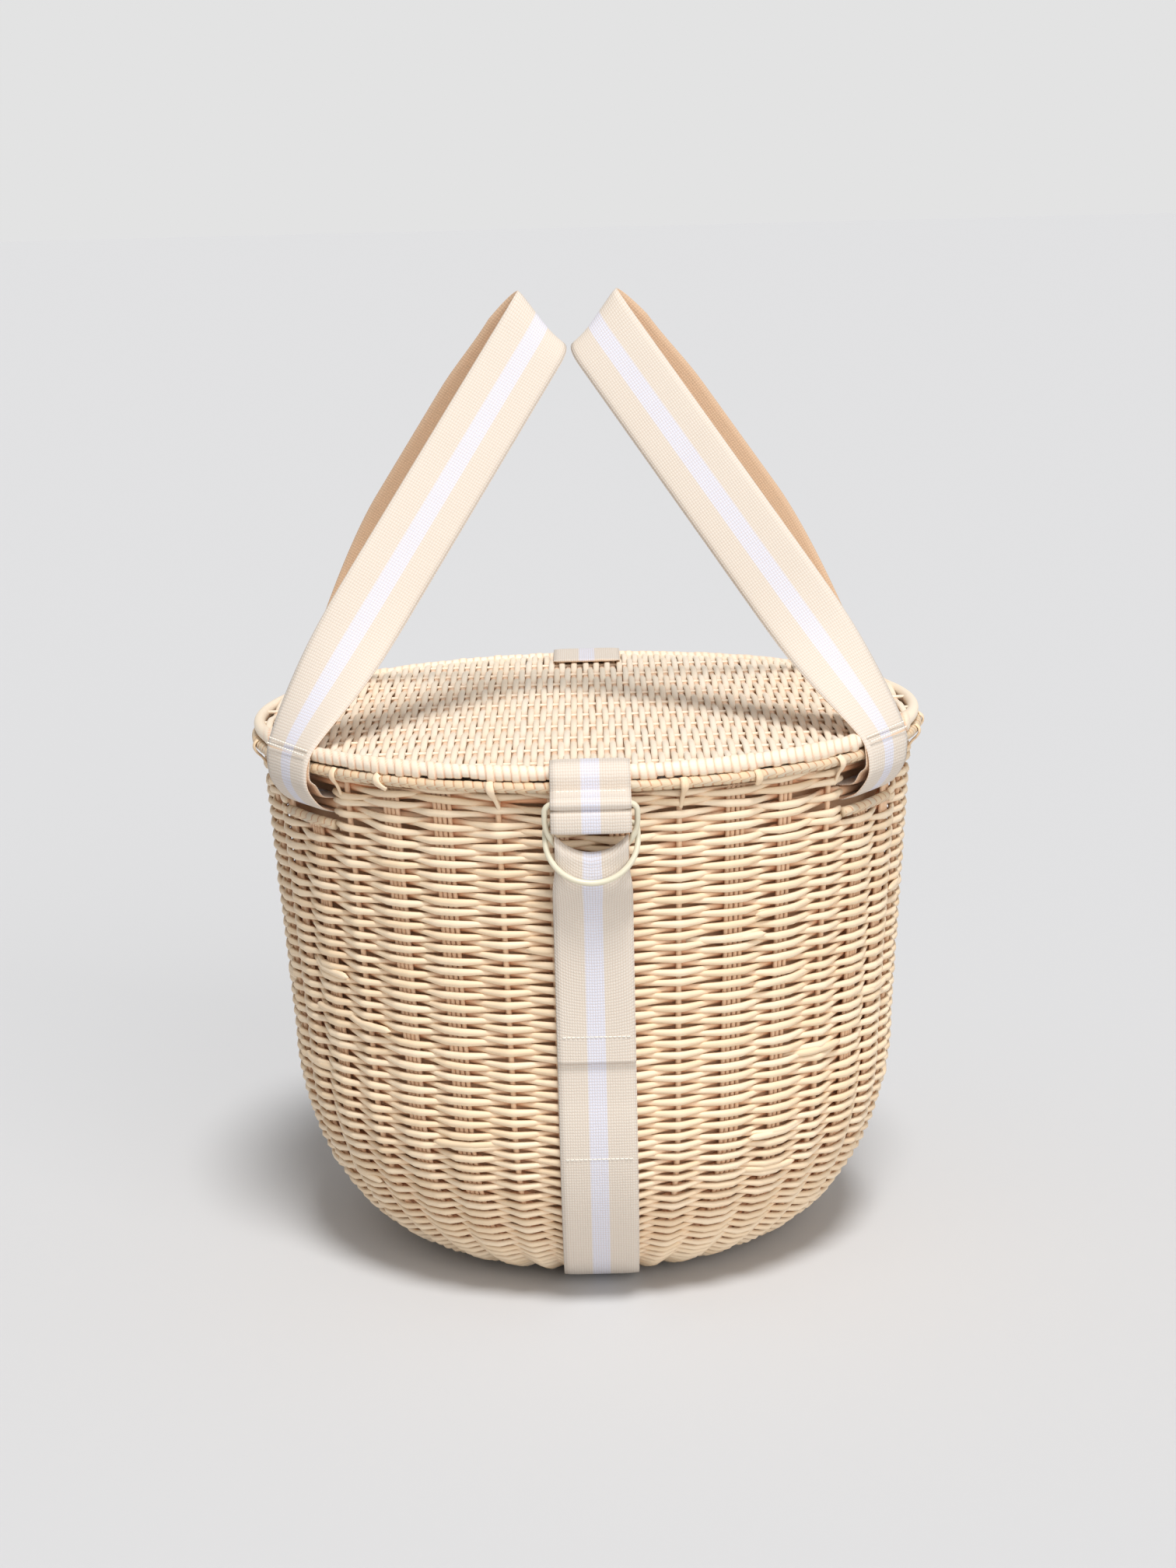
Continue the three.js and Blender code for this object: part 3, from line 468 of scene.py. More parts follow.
def on_wall(share, inwards):
    """(radius, height) and normal at shares of the outline's length, moved inwards from its outside."""
    path, normal = wall_outline()
    steps = np.linspace(0, 1, len(path))
    point = np.stack([np.interp(share, steps, path[:, i]) for i in range(2)], -1)
    facing = unit(np.stack([np.interp(share, steps, normal[:, i]) for i in range(2)], -1))
    return point - facing * np.asarray(inwards)[..., None], facing


def round_wall(share, inwards, angles):
    """Points and outward directions at shares of the outline and angles round the wall."""
    point, facing = on_wall(share, inwards)
    path = turned(point[..., 0], angles, point[..., 1])
    return path, turned(facing[..., 0], angles, facing[..., 1])


def wall_length():
    """Length of the wall's outline."""
    return travelled(wall_outline()[0])[-1]


def wall_radius(height):
    """The wall's outside radius on the straight taper."""
    return np.interp(height, [WALL_TURN, WALL_TOP], [WALL_TURN_RADIUS, WALL_TOP_RADIUS])


def column_angles():
    """Angle of each upright column."""
    return (np.arange(COLUMNS) + 0.5) * TAU / COLUMNS


def is_single():
    """True for the columns that are one rod, False for the bundles."""
    return np.arange(COLUMNS) % SINGLE_EVERY == 1


def alternate(numbers):
    """+1 for even numbers and -1 for odd ones."""
    return np.where(numbers % 2 == 0, 1, -1)


def from_slot(angles):
    """Degrees between angles round the wall and the nearest handle slot."""
    turns = np.degrees(angles)[:, None] - list(SLOTS.values())
    return np.abs((turns + 180) % 360 - 180).min(1)


def row_angles(first=0.0, last=360.0):
    """Angles round the wall, closer together at the columns, between two angles in degrees."""
    near = np.radians([-5, -3.3, -1.75, -0.7, 0, 0.7, 1.75, 3.3])
    angles = np.sort((column_angles()[:, None] + near).reshape(-1))
    if last - first >= 360:
        return angles
    low, high = math.radians(first), math.radians(last)
    angles = np.concatenate([angles - TAU, angles])
    inner = angles[(angles > low + 0.01) & (angles < high - 0.01)]
    return np.concatenate([[low], inner, [high]])


def passing(angle, row):
    """+1 where a row lies flat outside a column, -1 where it lies flat behind one, and a straight
    line in between. The flat stretch is as wide as the column."""
    half = np.where(is_single(), SINGLE_HALF_ANGLE, BUNDLE_HALF_ANGLE)
    middle = column_angles()
    edges = np.stack([middle - half, middle + half], 1).reshape(-1)
    values = np.repeat(alternate(np.arange(COLUMNS)), 2)
    level = np.interp(np.mod(angle, TAU), edges, values, period=TAU)
    return level * alternate(row)


def weave_rows(name, shares, numbers, angles, closed, seed, loose=0.0):
    """Rows of weaving at shares of the wall's outline: each row runs outside one column and behind
    the next, alternate rows the other way. It wavers up and down, swells in and out, and is
    broadest where it crosses a column."""
    size = sizes()
    rows = len(numbers)
    level = passing(angles[None], numbers[:, None])
    waver = wander(seed, rows, angles, 6, WEAVE_WAVER + loose) / wall_length()
    share = np.clip(shares[numbers][:, None] + waver, 0, 1)
    swell = wander(seed + 3, rows, angles * 3, 7, WEAVE_SWELL)
    path, outward = round_wall(share, COLUMN_DEPTH - WEAVE_REACH * level + np.abs(swell), angles)
    chance = np.random.default_rng(seed + 7)
    thick = chance.normal(1, 0.04, (rows, 1)) * (1 + wander(seed + 5, rows, angles * 2, 5, 0.035))
    thick = thick * (0.68 + 0.3 * np.abs(level))
    # The rows carry painted shade where they pass behind a column.
    return canes(name, path, outward, size.weaver_height * thick, size.weaver_depth, closed=closed,
                 seed=seed, deep=np.clip(-level, 0, 1)[..., None])


# Materials.

def math_method(operation, reflected=False):
    """A method that adds one Math node, with its two values the other way round if reflected."""
    def method(self, other):
        values = (other, self) if reflected else (self, other)
        return self.graph.math(operation, *values)
    return method


class Socket:
    """A shader value: arithmetic on it adds Math nodes."""

    def __init__(self, graph, socket):
        self.graph = graph
        self.socket = socket

    __add__ = math_method("ADD")
    __radd__ = math_method("ADD", reflected=True)
    __sub__ = math_method("SUBTRACT")
    __rsub__ = math_method("SUBTRACT", reflected=True)
    __mul__ = math_method("MULTIPLY")
    __rmul__ = math_method("MULTIPLY", reflected=True)


class Graph:
    """Builds the nodes of one tree, which ends in the shader of the given name."""

    def __init__(self, tree, shader):
        self.tree = tree
        self.shader = tree.nodes[shader]

    def put(self, target, value):
        """Sets or links a node's socket. A colour is made as long as the socket's own."""
        if isinstance(value, Socket):
            self.tree.links.new(value.socket, target)
            return
        if hasattr(target.default_value, "__len__") and hasattr(value, "__len__"):
            value = tuple(value) + (1.0,) * (len(target.default_value) - len(value))
        target.default_value = value

    def node(self, kind, settings=(), inputs=(), output=0):
        """Any node: its settings are set first, then the values or links of its sockets."""
        node = self.tree.nodes.new("ShaderNode" + kind)
        for key, value in dict(settings).items():
            setattr(node, key, value)
        for key, value in dict(inputs).items():
            self.put(node.inputs[key], value)
        return Socket(self, node.outputs[output])

    def math(self, operation, *values):
        return self.node("Math", {"operation": operation}, enumerate(values))

    def size_of(self, value):
        """The value without its sign."""
        return self.math("ABSOLUTE", value)

    def mix(self, share, first, second):
        """Colours mixed by a share."""
        return self.node("Mix", {"data_type": "RGBA", "clamp_factor": True},
                         {0: share, 6: first, 7: second}, 2)

    def attribute(self, name):
        return self.node("Attribute", {"attribute_name": name}, (), "Fac")

    def uv(self):
        """The two UV coordinates as separate values."""
        first = self.node("SeparateXYZ", (), {0: self.node("UVMap", {"uv_map": "UVMap"})})
        return first, Socket(self, first.socket.node.outputs[1])

    def place(self, x, y, z=0.0):
        """A point from three values."""
        return self.node("CombineXYZ", (), {0: x, 1: y, 2: z})

    def noise(self, where, scale=1.0, detail=2.0, rough=0.5):
        return self.node("TexNoise", {"noise_dimensions": "3D"},
                         {"Vector": where, "Scale": scale, "Detail": detail, "Roughness": rough})

    def coordinates(self):
        """Object coordinates."""
        return self.node("TexCoord", (), (), "Object")

    def smooth_step(self, value, low, high):
        """0 at low and 1 at high, with a smooth rise between them."""
        return self.node("MapRange", {"interpolation_type": "SMOOTHSTEP"},
                         {0: value, 1: low, 2: high, 3: 0.0, 4: 1.0})

    def bump(self, height, distance, strength):
        bumped = self.node("Bump", (), {"Height": height, "Distance": distance, "Strength": strength})
        self.put(self.shader.inputs["Normal"], bumped)

    def colour(self, value):
        self.put(self.shader.inputs["Base Color"], value)

    def rough(self, value):
        self.put(self.shader.inputs["Roughness"], value)


def start_material(name, **finish):
    """A material and its graph, with its plain settings on the shader's own sockets."""
    material = bpy.data.materials.new(name)
    material.use_nodes = True
    graph = Graph(material.node_tree, "Principled BSDF")
    for key, value in finish.items():
        graph.shader.inputs[key.replace("_", " ").title().replace("Ior", "IOR")].default_value = value
    return material, graph


@functools.cache
def cane_material(pale="cane", dark="cane_dark"):
    """Peeled cane: a tone of its own for each cane, painted shade where it lies deep behind other
    canes, fine grain lines along it and soft blotches over the whole basket."""
    material, graph = start_material("peeled_" + pale, roughness=0.5, specular_ior_level=0.4)
    along, round_it = graph.uv()
    chance = graph.attribute("tone")
    grain = graph.noise(graph.place(along * 30, round_it * 9, chance * 37), detail=3.0)
    fine = graph.noise(graph.place(along * 160, round_it * 40, chance * 11))
    blotch = graph.noise(graph.coordinates(), 28.0)
    body = graph.mix(chance * 0.45 + grain * 0.55 + blotch * 0.35 - 0.35, paint(pale), paint(dark))
    # Painted shade: each cane is mixed towards the shade colour by its painted-shade amount.
    shade = graph.mix(graph.attribute("deep") * 0.62, body, paint("cane_painted_shade"))
    graph.colour(graph.mix(graph.smooth_step(fine, 0.62, 0.8) * 0.16, shade, paint("cane_line")))
    graph.rough(grain * 0.18 + 0.42)
    graph.bump(fine * 0.6 + grain * 0.4, 0.2 * MM, 0.5)
    return material


@functools.cache
def wrap_material():
    """Flat cane wound round a hoop: each turn has a tone of its own, darker at its edges. Its colour
    is darkened as painted shadow of the lid's rim, on the slot bars too.
    """
    material, graph = start_material("wound_cane", roughness=0.48, specular_ior_level=0.45)
    turn, round_it = graph.uv()
    whole = graph.math("FLOOR", turn)
    inside = turn - whole
    chance = graph.node("TexWhiteNoise", {"noise_dimensions": "1D"}, {"W": whole})
    edge = graph.smooth_step(graph.size_of(inside - 0.5), 0.36, 0.5)
    grain = graph.noise(graph.place(inside * 6, round_it * 5, whole * 3.1))
    # The wound colour is painted shadow of the lid's rim.
    body = graph.mix(chance * 0.7 + grain * 0.5 - 0.2, paint("cane_wound_painted_shadow"), paint("cane_dark"))
    graph.colour(graph.mix(edge * 0.8, body, paint("cane_line")))
    graph.rough(grain * 0.15 + 0.42)
    graph.bump(grain, 0.2 * MM, 0.4)
    return material


@functools.cache
def webbing_material():
    """Cotton webbing: ribs across it in a small offset weave, a pale centre stripe on its face, a
    tan reverse, darker dots between the threads and slightly uneven colour."""
    material, graph = start_material("cotton_webbing", roughness=0.86, specular_ior_level=0.2,
                                     sheen_weight=0.15)
    across, along = graph.uv()
    sway = graph.noise(graph.place(across * 260, along * 180))
    warp = graph.math("SINE", across * (TAU / RIB_PITCH) + sway * 1.2)
    weft = graph.math("SINE", along * (TAU / WEFT_PITCH) + sway * 1.4)
    knot = graph.size_of(warp * weft)
    fuzz = graph.noise(graph.place(across * 1100, along * 900))
    blotch = graph.noise(graph.place(across * 30, along * 60))
    edge = sizes().stripe_width / 2
    stripe = 1 - graph.smooth_step(graph.size_of(across), edge - 0.5 * MM, edge + 0.4 * MM)
    face = graph.mix(stripe * 0.95, paint("webbing"), paint("stripe"))
    body = graph.mix(graph.attribute("front"), paint("webbing_back"), face)
    dots = graph.smooth_step(knot, 0.42, 0.02)
    # Darker in dots between the threads and in soft blotches.
    dots_and_blotches = dots * 0.46 + fuzz * 0.16 + blotch * 0.12 - 0.2
    graph.colour(graph.mix(dots_and_blotches, body, paint("webbing_back", 0.72)))
    graph.bump(knot * 0.8 + fuzz * 0.6, 0.4 * MM, 0.4)
    return material


@functools.cache
def thread_material():
    """Twisted sewing thread."""
    material, graph = start_material("sewing_thread", roughness=0.8, specular_ior_level=0.2)
    along, round_it = graph.uv()
    twist = graph.math("SINE", along * (TAU / (0.4 * MM)) + round_it * TAU)
    graph.colour(graph.mix(twist * 0.12 + 0.12, paint("thread"), paint("webbing_back")))
    graph.bump(twist, 0.05 * MM, 0.3)
    return material


@functools.cache
def enamel_material():
    """Cream enamel on wire: smooth and a little uneven."""
    material, graph = start_material("cream_enamel", roughness=0.3, specular_ior_level=0.5,
                                     coat_weight=0.25)
    uneven = graph.noise(graph.coordinates(), 220.0)
    graph.colour(graph.mix(uneven * 0.35, paint("enamel"), paint("enamel", 0.86)))
    graph.rough(uneven * 0.12 + 0.26)
    graph.bump(uneven, 0.2 * MM, 0.25)
    return material


@functools.cache
def foil_material():
    """Laminated foil: silvery, softly creased, with a fine cellular emboss. Its collar is cloth."""
    material, graph = start_material("liner_foil", metallic=0.85, roughness=0.34)
    collar = graph.attribute("collar")
    where = graph.coordinates()
    crease = graph.noise(where, 38.0, 4.0, 0.6)
    fine = graph.node("TexVoronoi", {"feature": "DISTANCE_TO_EDGE"}, {"Vector": where, "Scale": 210.0})
    foil = graph.mix(crease * 0.3, paint("foil"), paint("foil", 0.8))
    graph.colour(graph.mix(collar, foil, paint("backing")))
    graph.rough(crease * 0.2 + 0.25 + collar * 0.5)
    graph.put(graph.shader.inputs["Metallic"], 0.85 - collar * 0.85)
    graph.bump(crease + graph.math("MINIMUM", fine, 0.08) * 2, 1.2 * MM, 0.6)
    return material


@functools.cache
def cloth_material(name, colour_name, scale=900.0):
    """Plain fine cloth or foam skin."""
    material, graph = start_material(name, roughness=0.9, specular_ior_level=0.2)
    where = graph.coordinates()
    fine = graph.noise(where, scale)
    blotch = graph.noise(where, 20.0)
    graph.colour(graph.mix(fine * 0.3 + blotch * 0.2, paint(colour_name), paint(colour_name, 0.75)))
    graph.bump(fine, 0.4 * MM, 0.5)
    return material


def dress(piece, material, body=None):
    """Gives a piece its material and the body that it rides on."""
    piece.data.materials.append(material)
    if body:
        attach(piece, body)
    return piece


def dress_cane(piece):
    """Dresses a cane piece of the basket."""
    return dress(piece, cane_material(), "basket")


def dress_lid_cane(piece):
    """Dresses a cane piece of the lid, in paler cane colours that are painted light on its upturned top."""
    return dress(piece, cane_material("cane_lid_painted_light", "cane"), "lid")


class BASKET_OT_wall(bpy.types.Operator):
    """Weaves the wall round its upright canes, leaving the four handle slots open."""
    bl_idname = "basket.wall"
    bl_label = "Wall"

    def execute(self, context):
        self.rows()
        self.ends()
        self.uprights()
        return {"FINISHED"}

    def rows(self):
        """Two pieces of rows all the way round below the slots, and one piece between each two
        slots above."""
        pitch = sizes().row_pitch / wall_length()
        count = round((1 - 1.2 * pitch) / pitch)
        shares = np.linspace(0.7 * pitch, 1 - 0.25 * pitch, count)
        heights = on_wall(shares, np.zeros(count))[0][:, 1]
        slots_start = SLOT_FLOOR - 1 * MM
        middle = np.flatnonzero((heights >= LOWER_WEAVE_TOP) & (heights < slots_start))
        below = np.flatnonzero(heights < LOWER_WEAVE_TOP)
        above = np.flatnonzero(heights >= slots_start)
        upper = dress_cane(weave_rows("weave_upper", shares, middle, row_angles(), True, 11))
        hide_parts("wall_weave")
        dress_cane(weave_rows("weave_lower", shares, below, row_angles(), True, 12))
        for i, (first, last) in enumerate(BETWEEN_SLOTS):
            dress_cane(weave_rows(f"weave_between_slots_{i}", shares, above, row_angles(first, last), False,
                                  20 + i, WEAVE_LOOSE))

    def ends(self):
        """Ends of weaving canes: each comes out between two columns, crosses one and stops, with
        its rounded end lying on the weave."""
        chance = np.random.default_rng(42)
        number = 44
        start, stop = -0.85, 0.62
        column = chance.integers(0, COLUMNS, number)
        way = chance.choice([-1, 1], number)
        share = chance.uniform(0.2, 0.9, number)
        t = np.linspace(start, stop, 15)
        angles = column_angles()[column][:, None] + way[:, None] * t * TAU / COLUMNS
        level = np.interp(t, [-1, -0.2, 0.2, stop], [-1, 1, 1.12, 1.02])
        lean = chance.uniform(-0.004, 0.004, (number, 1)) * t
        inwards = np.broadcast_to(COLUMN_DEPTH - WEAVE_REACH * level, angles.shape)
        path, outward = round_wall(share[:, None] + lean, inwards, angles)
        taper = np.interp(t, [start, 0.4, 0.56, 0.6, stop], [1, 1, 0.8, 0.5, 0.12])
        dress_cane(canes("weaver_ends", path, outward, 3.9 * MM * taper, 2.7 * MM * taper, seed=43,
                         deep=0.0))

    def uprights(self):
        """Single rods on every third column, and bundles of three or four canes on the others,
        closer together towards the base."""
        chance = np.random.default_rng(5)
        closest, crowd_start, crowd_span = 0.25, 30 * MM, 120 * MM
        point, facing = on_wall(np.linspace(0, 1, 60), np.full(60, COLUMN_DEPTH))
        crowd = np.clip((point[:, 0] - crowd_start) / crowd_span, closest, 1)
        in_slot = from_slot(column_angles()) < SLOT_HALF_ANGLE
        tops = np.where(in_slot, SLOT_FLOOR, WALL_TOP + 2 * MM)
        paths, facings, widths = [], [], []
        for angle, single, top in zip(column_angles(), is_single(), tops):
            number = 1 if single else int(chance.choice([3, 3, 4, 4]))
            for j in range(number):
                sideways = (j - (number - 1) / 2) * BUNDLE_SPACING + chance.normal(0, 0.15) * MM
                turn = angle + sideways * crowd / point[:, 0]
                paths.append(turned(point[:, 0], turn, np.minimum(point[:, 1], top)))
                facings.append(turned(facing[:, 0], turn, facing[:, 1]))
                widths.append(ROD_WIDTH if single else BUNDLE_CANE_WIDTH)
        widths = np.array(widths)[:, None]
        # The rods carry an even painted shade all along.
        rods = canes("upright_rods", np.array(paths), np.array(facings), widths, widths * 0.95, seed=3,
                     deep=0.4)
        dress_cane(rods)
        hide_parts("upright_canes")


class BASKET_OT_base(bpy.types.Operator):
    """Weaves the flat round base."""
    bl_idname = "basket.base"
    bl_label = "Base"

    def execute(self, context):
        size = sizes()
        middle = WALL_FLOOR + COLUMN_DEPTH
        radii = np.arange(BASE_OUTER_ROW, BASE_INNER_ROW, -size.row_pitch)[:, None]
        angles = np.arange(180) * TAU / 180
        crossed = np.where(radii > BASE_CLOSE_WEAVE, COLUMNS, BASE_SPOKES)
        way = alternate(np.arange(len(radii)))[:, None]
        level = way * np.cos(crossed / 2 * (angles - math.pi / COLUMNS))
        path = turned(radii, angles, middle - BASE_REACH * level)
        # The rows carry painted shade where they pass behind the spokes.
        base = canes("base_weave", path, -UP, size.weaver_height * 0.86, size.weaver_depth * 0.9,
                     closed=True, seed=4, deep=np.clip(0.5 - 0.5 * level, 0, 1)[..., None])
        dress_cane(base)
        angles = (np.arange(BASE_SPOKES) + 0.5)[:, None] * TAU / BASE_SPOKES
        spokes = turned(np.linspace(6 * MM, BASE_RADIUS + 2 * MM, 24), angles, middle)
        # The spokes carry a light painted shade.
        dress_cane(canes("base_spokes", spokes, UP, 3.2 * MM, 2.4 * MM, seed=8, deep=0.2))
        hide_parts("base_mat")
        return {"FINISHED"}


def wound_hoop(name, angles, radius, height, thickness, pitch, sides=14, closed=True, seed=2):
    """A hoop of round section wound with flat cane: a groove sinks the surface between turns,
    which lean by one pitch round the hoop, and each turn stands a little differently."""
    arc = radius * (angles - angles[0])
    whole_arc = TAU * radius if closed else arc[-1]
    total = round(whole_arc / pitch)
    turn = (arc / whole_arc * total)[:, None] + np.arange(sides) / sides
    chance = np.random.default_rng(seed).normal(0, 1, total + 3)
    whole = np.floor(turn).astype(int)
    stands = chance[whole % (total if closed else total + 3)]
    wire = thickness / 2 * (1 - 0.13 * groove_between(turn - whole, 5) + 0.03 * stands)
    piece = hoop(name, angles, radius, height, wire, turn, closed)
    return dress(piece, wrap_material(), "basket")


class BASKET_OT_rims(bpy.types.Operator):
    """Winds the basket's rim, its ties, the inner hoop and the bars of the slots."""
    bl_idname = "basket.rims"
    bl_label = "Rims"

    def execute(self, context):
        pitch = sizes().wrap_pitch
        steps = round(TAU * RIM_RADIUS / pitch) * 8
        angles = np.arange(steps) * TAU / steps
        rim = wound_hoop("basket_rim", angles, RIM_RADIUS, RIM_HEIGHT, RIM_THICK, pitch)
        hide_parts("rim_hoop")
        angles = np.arange(240)[None] * TAU / 240
        # The inner hoop carries painted shade.
        inner = canes("inner_hoop", turned(ANCHOR_RADIUS, angles, ANCHOR_HEIGHT), UP, INNER_HOOP_THICK,
                      INNER_HOOP_THICK, 12, closed=True, seed=6, deep=0.4)
        dress_cane(inner)
        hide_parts("anchor_hoop")
        heights = np.array([[268.6], [265.6]]) * MM
        behind = turned(wall_radius(heights) - 7.2 * MM, angles, heights)
        # These canes behind the rim are painted fully in shade.
        dress_cane(canes("canes_behind_rim", behind, UP, 3.4 * MM, 3.6 * MM, 8, closed=True, seed=7,
                         deep=1.0))
        self.bars()
        self.ties()
        return {"FINISHED"}

    def bars(self):
        """A short wound bar along the lower edge of each slot."""
        middle = SLOT_FLOOR + SLOT_BAR_THICK / 2
        radius = wall_radius(middle) - SLOT_BAR_THICK / 2
        for side, turn in SLOTS.items():
            angles = np.radians(turn + np.linspace(-SLOT_BAR_HALF_ANGLE, SLOT_BAR_HALF_ANGLE, 90))
            bar = wound_hoop(f"slot_bar_wound_{side}", angles, radius, middle, SLOT_BAR_THICK,
                             SLOT_BAR_PITCH, 12, closed=False, seed=31)
            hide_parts(f"slot_bar_{side}")

    def ties(self):
        """Flattened ends of the single rods, bent up and over the rim, and short strips tied slanting
        over it at some of the bundles. There are none at the slots, the strap and the hinge."""
        chance = np.random.default_rng(9)
        angles = column_angles()
        free = (from_slot(angles) > SLOT_HALF_ANGLE + 3) & (np.abs(np.sin(angles)) > 0.14)
        rods = angles[free & is_single()]
        strips = angles[free & ~is_single()]
        strips = strips + np.radians(chance.uniform(-3.5, 3.5, len(strips)))
        shape = blend_points(TIE_POINTS, 4)
        for name, middle, part, bend in (("rod_ends_over_rim", rods, shape, 0.004),
                                         ("strips_over_rim", strips[::2], shape[:STRIP_STATIONS], 0.012)):
            t = np.linspace(-1, 1, len(part))
            lean = chance.normal(0, bend, (len(middle), 1)) * t
            lean = lean + chance.normal(0, bend * 0.6, (len(middle), 1)) * t ** 2
            turn = middle[:, None] + lean
            rise = 0.8 * np.clip((part[:, 1] - RIM_HEIGHT) / (3 * MM), -1, 1)
            # The ties carry a faint painted shade.
            dress_cane(canes(name, turned(part[:, 0], turn, part[:, 1]), turned(1, turn, rise),
                             part[None, :, 2] * 0.92, 1.4 * MM, 8, seed=10, deep=0.05))


class BASKET_OT_lid(bpy.types.Operator):
    """Weaves the lid: strands from front to back over and under thin cross rods, wound at both
    ends round a hoop that stays bare at the left and the right."""
    bl_idname = "basket.lid"
    bl_label = "Lid"

    def execute(self, context):
        self.strands()
        self.rods()
        self.rim()
        return {"FINISHED"}

    def strands(self):
        """Strands side by side, each over one rod and under the next, rising a little to the rim."""
        pitch = sizes().strand_pitch
        rods = sizes().rod_pitch
        count = int(2 * (LID_RADIUS - 6 * MM) / pitch) // 2 * 2 + 1
        numbers = (np.arange(count) - count // 2)[:, None]
        x = numbers * pitch
        half = np.sqrt(np.maximum(LID_RADIUS ** 2 - x ** 2, 0))
        t = np.linspace(-1, 1, 101)
        y = half * t
        wave = np.cos(math.pi * ((y - ROD_OFFSET) / rods - 0.5)) * alternate(numbers)
        fade = np.clip((half - np.abs(y)) / (0.35 * rods), 0, 1)
        lift = STRAND_LIFT * wave * fade + STRAND_RISE_AT_RIM * (1 - fade)
        drift = 0.35 * MM * wander(15, count, t * 1.3, 3)
        path = np.stack([x + drift * fade, y, STRAND_HEIGHT + lift], -1)
        widths = STRAND_WIDTH * np.random.default_rng(14).normal(1, 0.02, (count, 1))
        # Painted shade where a strand dips under a rod.
        deep = np.clip(-wave * fade, 0, 1)[..., None] ** 2 * 0.55
        strands = canes("lid_strands", path, UP, widths, STRAND_THICK, 8, seed=16, deep=deep)
        dress_lid_cane(strands)
        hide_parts("lid_weave")

    def rods(self):
        """Thin rods from left to right between the strands."""
        pitch = sizes().rod_pitch
        number = 2 * int(LID_RADIUS / pitch)
        y = ((np.arange(number) - (number - 1) / 2) * pitch + ROD_OFFSET)[:, None]
        x = np.sqrt(LID_RADIUS ** 2 - y ** 2) * np.linspace(-1, 1, 40)
        path = np.stack(np.broadcast_arrays(x, y, STRAND_HEIGHT - 0.1 * MM), -1)
        dress_lid_cane(canes("lid_rods", path, UP, 2.3 * MM, 1.9 * MM, 8, seed=17, deep=0.0))

    def rim(self):
        """The lid's hoop: strands wound round it stand as ridges in line with the lid's strands,
        and at the far left and right the bare smooth hoop shows."""
        steps, sides = 2400, 16
        pitch = sizes().strand_pitch * 1.25
        angles = np.arange(steps) * TAU / steps
        around = np.arange(sides) * TAU / sides
        x = (LID_RADIUS + 3.6 * MM * np.cos(around)) * np.sin(angles)[:, None]
        turn = (x + 0.12 * np.sin(around) * pitch) / pitch
        whole = np.floor(turn).astype(int)
        chance = np.random.default_rng(18).normal(0, 1, 400)
        in_front = np.cos(angles)[:, None] > 0
        stands = chance[(whole + 200 + 97 * in_front) % 400]
        wound = np.clip((WOUND_REACH - np.abs(x)) / WOUND_FADE, 0, 1)
        groove = groove_between(turn - whole, 6)
        below = np.clip(-np.sin(around) - 0.2, 0, 1)
        ridge = 0.3 + (0.16 + 0.5 * below) * stands - 0.5 * groove
        wire = LID_RIM_WIRE * (1 - 0.1 * (1 - wound)) + wound * MM * ridge + 0.7 * MM * below
        # Painted shade in the grooves between the wound turns.
        rim = hoop("lid_rim", angles, LID_RADIUS, LID_HEIGHT, wire, turn * 0.004 + 0.3 * in_front,
                   tone=np.clip(0.5 + 0.25 * stands * wound, 0, 1)[None],
                   deep=np.clip(groove * wound * 1.3, 0, 1)[None])
        dress_lid_cane(rim)
        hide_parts("lid_frame")


# Webbing.

def across_strip(centre, across):
    """A grid of points across webbing: straight lines along the across direction."""
    share = np.linspace(-0.5, 0.5, WEBBING_COLUMNS)
    return centre[:, None] + across[:, None] * (share * WEBBING_WIDTH)[:, None]


def strap_grid(path, count):
    """A strap across X through points (distance in front of the axis, height)."""
    path = even(np.asarray(path, float), count)
    centre = np.stack([np.full(count, STRAP_X), -path[:, 0], path[:, 1]], 1)
    return across_strip(centre, np.broadcast_to(ACROSS, centre.shape))


def stitches(name, rows, body=None):
    """Rows of short stitches, each row (middle, across, outward): small humps of thread along the
    row's across direction."""
    number = int(STITCH_ROW / STITCH_PITCH)
    starts = (np.arange(number) - (number - 1) / 2) * STITCH_PITCH
    t = np.linspace(-0.5, 0.5, 5)
    paths, facings = [], []
    for middle, across, outward in rows:
        line = middle + across * (starts[:, None, None] + (t * STITCH_LENGTH)[:, None])
        paths.append(line + outward * (0.24 * MM - 0.42 * MM * (2 * t[:, None]) ** 2))
        facings.append(np.broadcast_to(outward, line.shape))
    thread = canes(name, np.concatenate(paths), np.concatenate(facings), STITCH_WIDTH, STITCH_THICK,
                   seed=19)
    return dress(thread, thread_material(), body)


def round_wire(wire, radius, first, last, count=12):
    """Points round a wire from one angle to another, in degrees above straight ahead."""
    turn = np.radians(np.linspace(first, last, count))
    return [(wire[0] + radius * math.cos(a), wire[1] + radius * math.sin(a)) for a in turn]


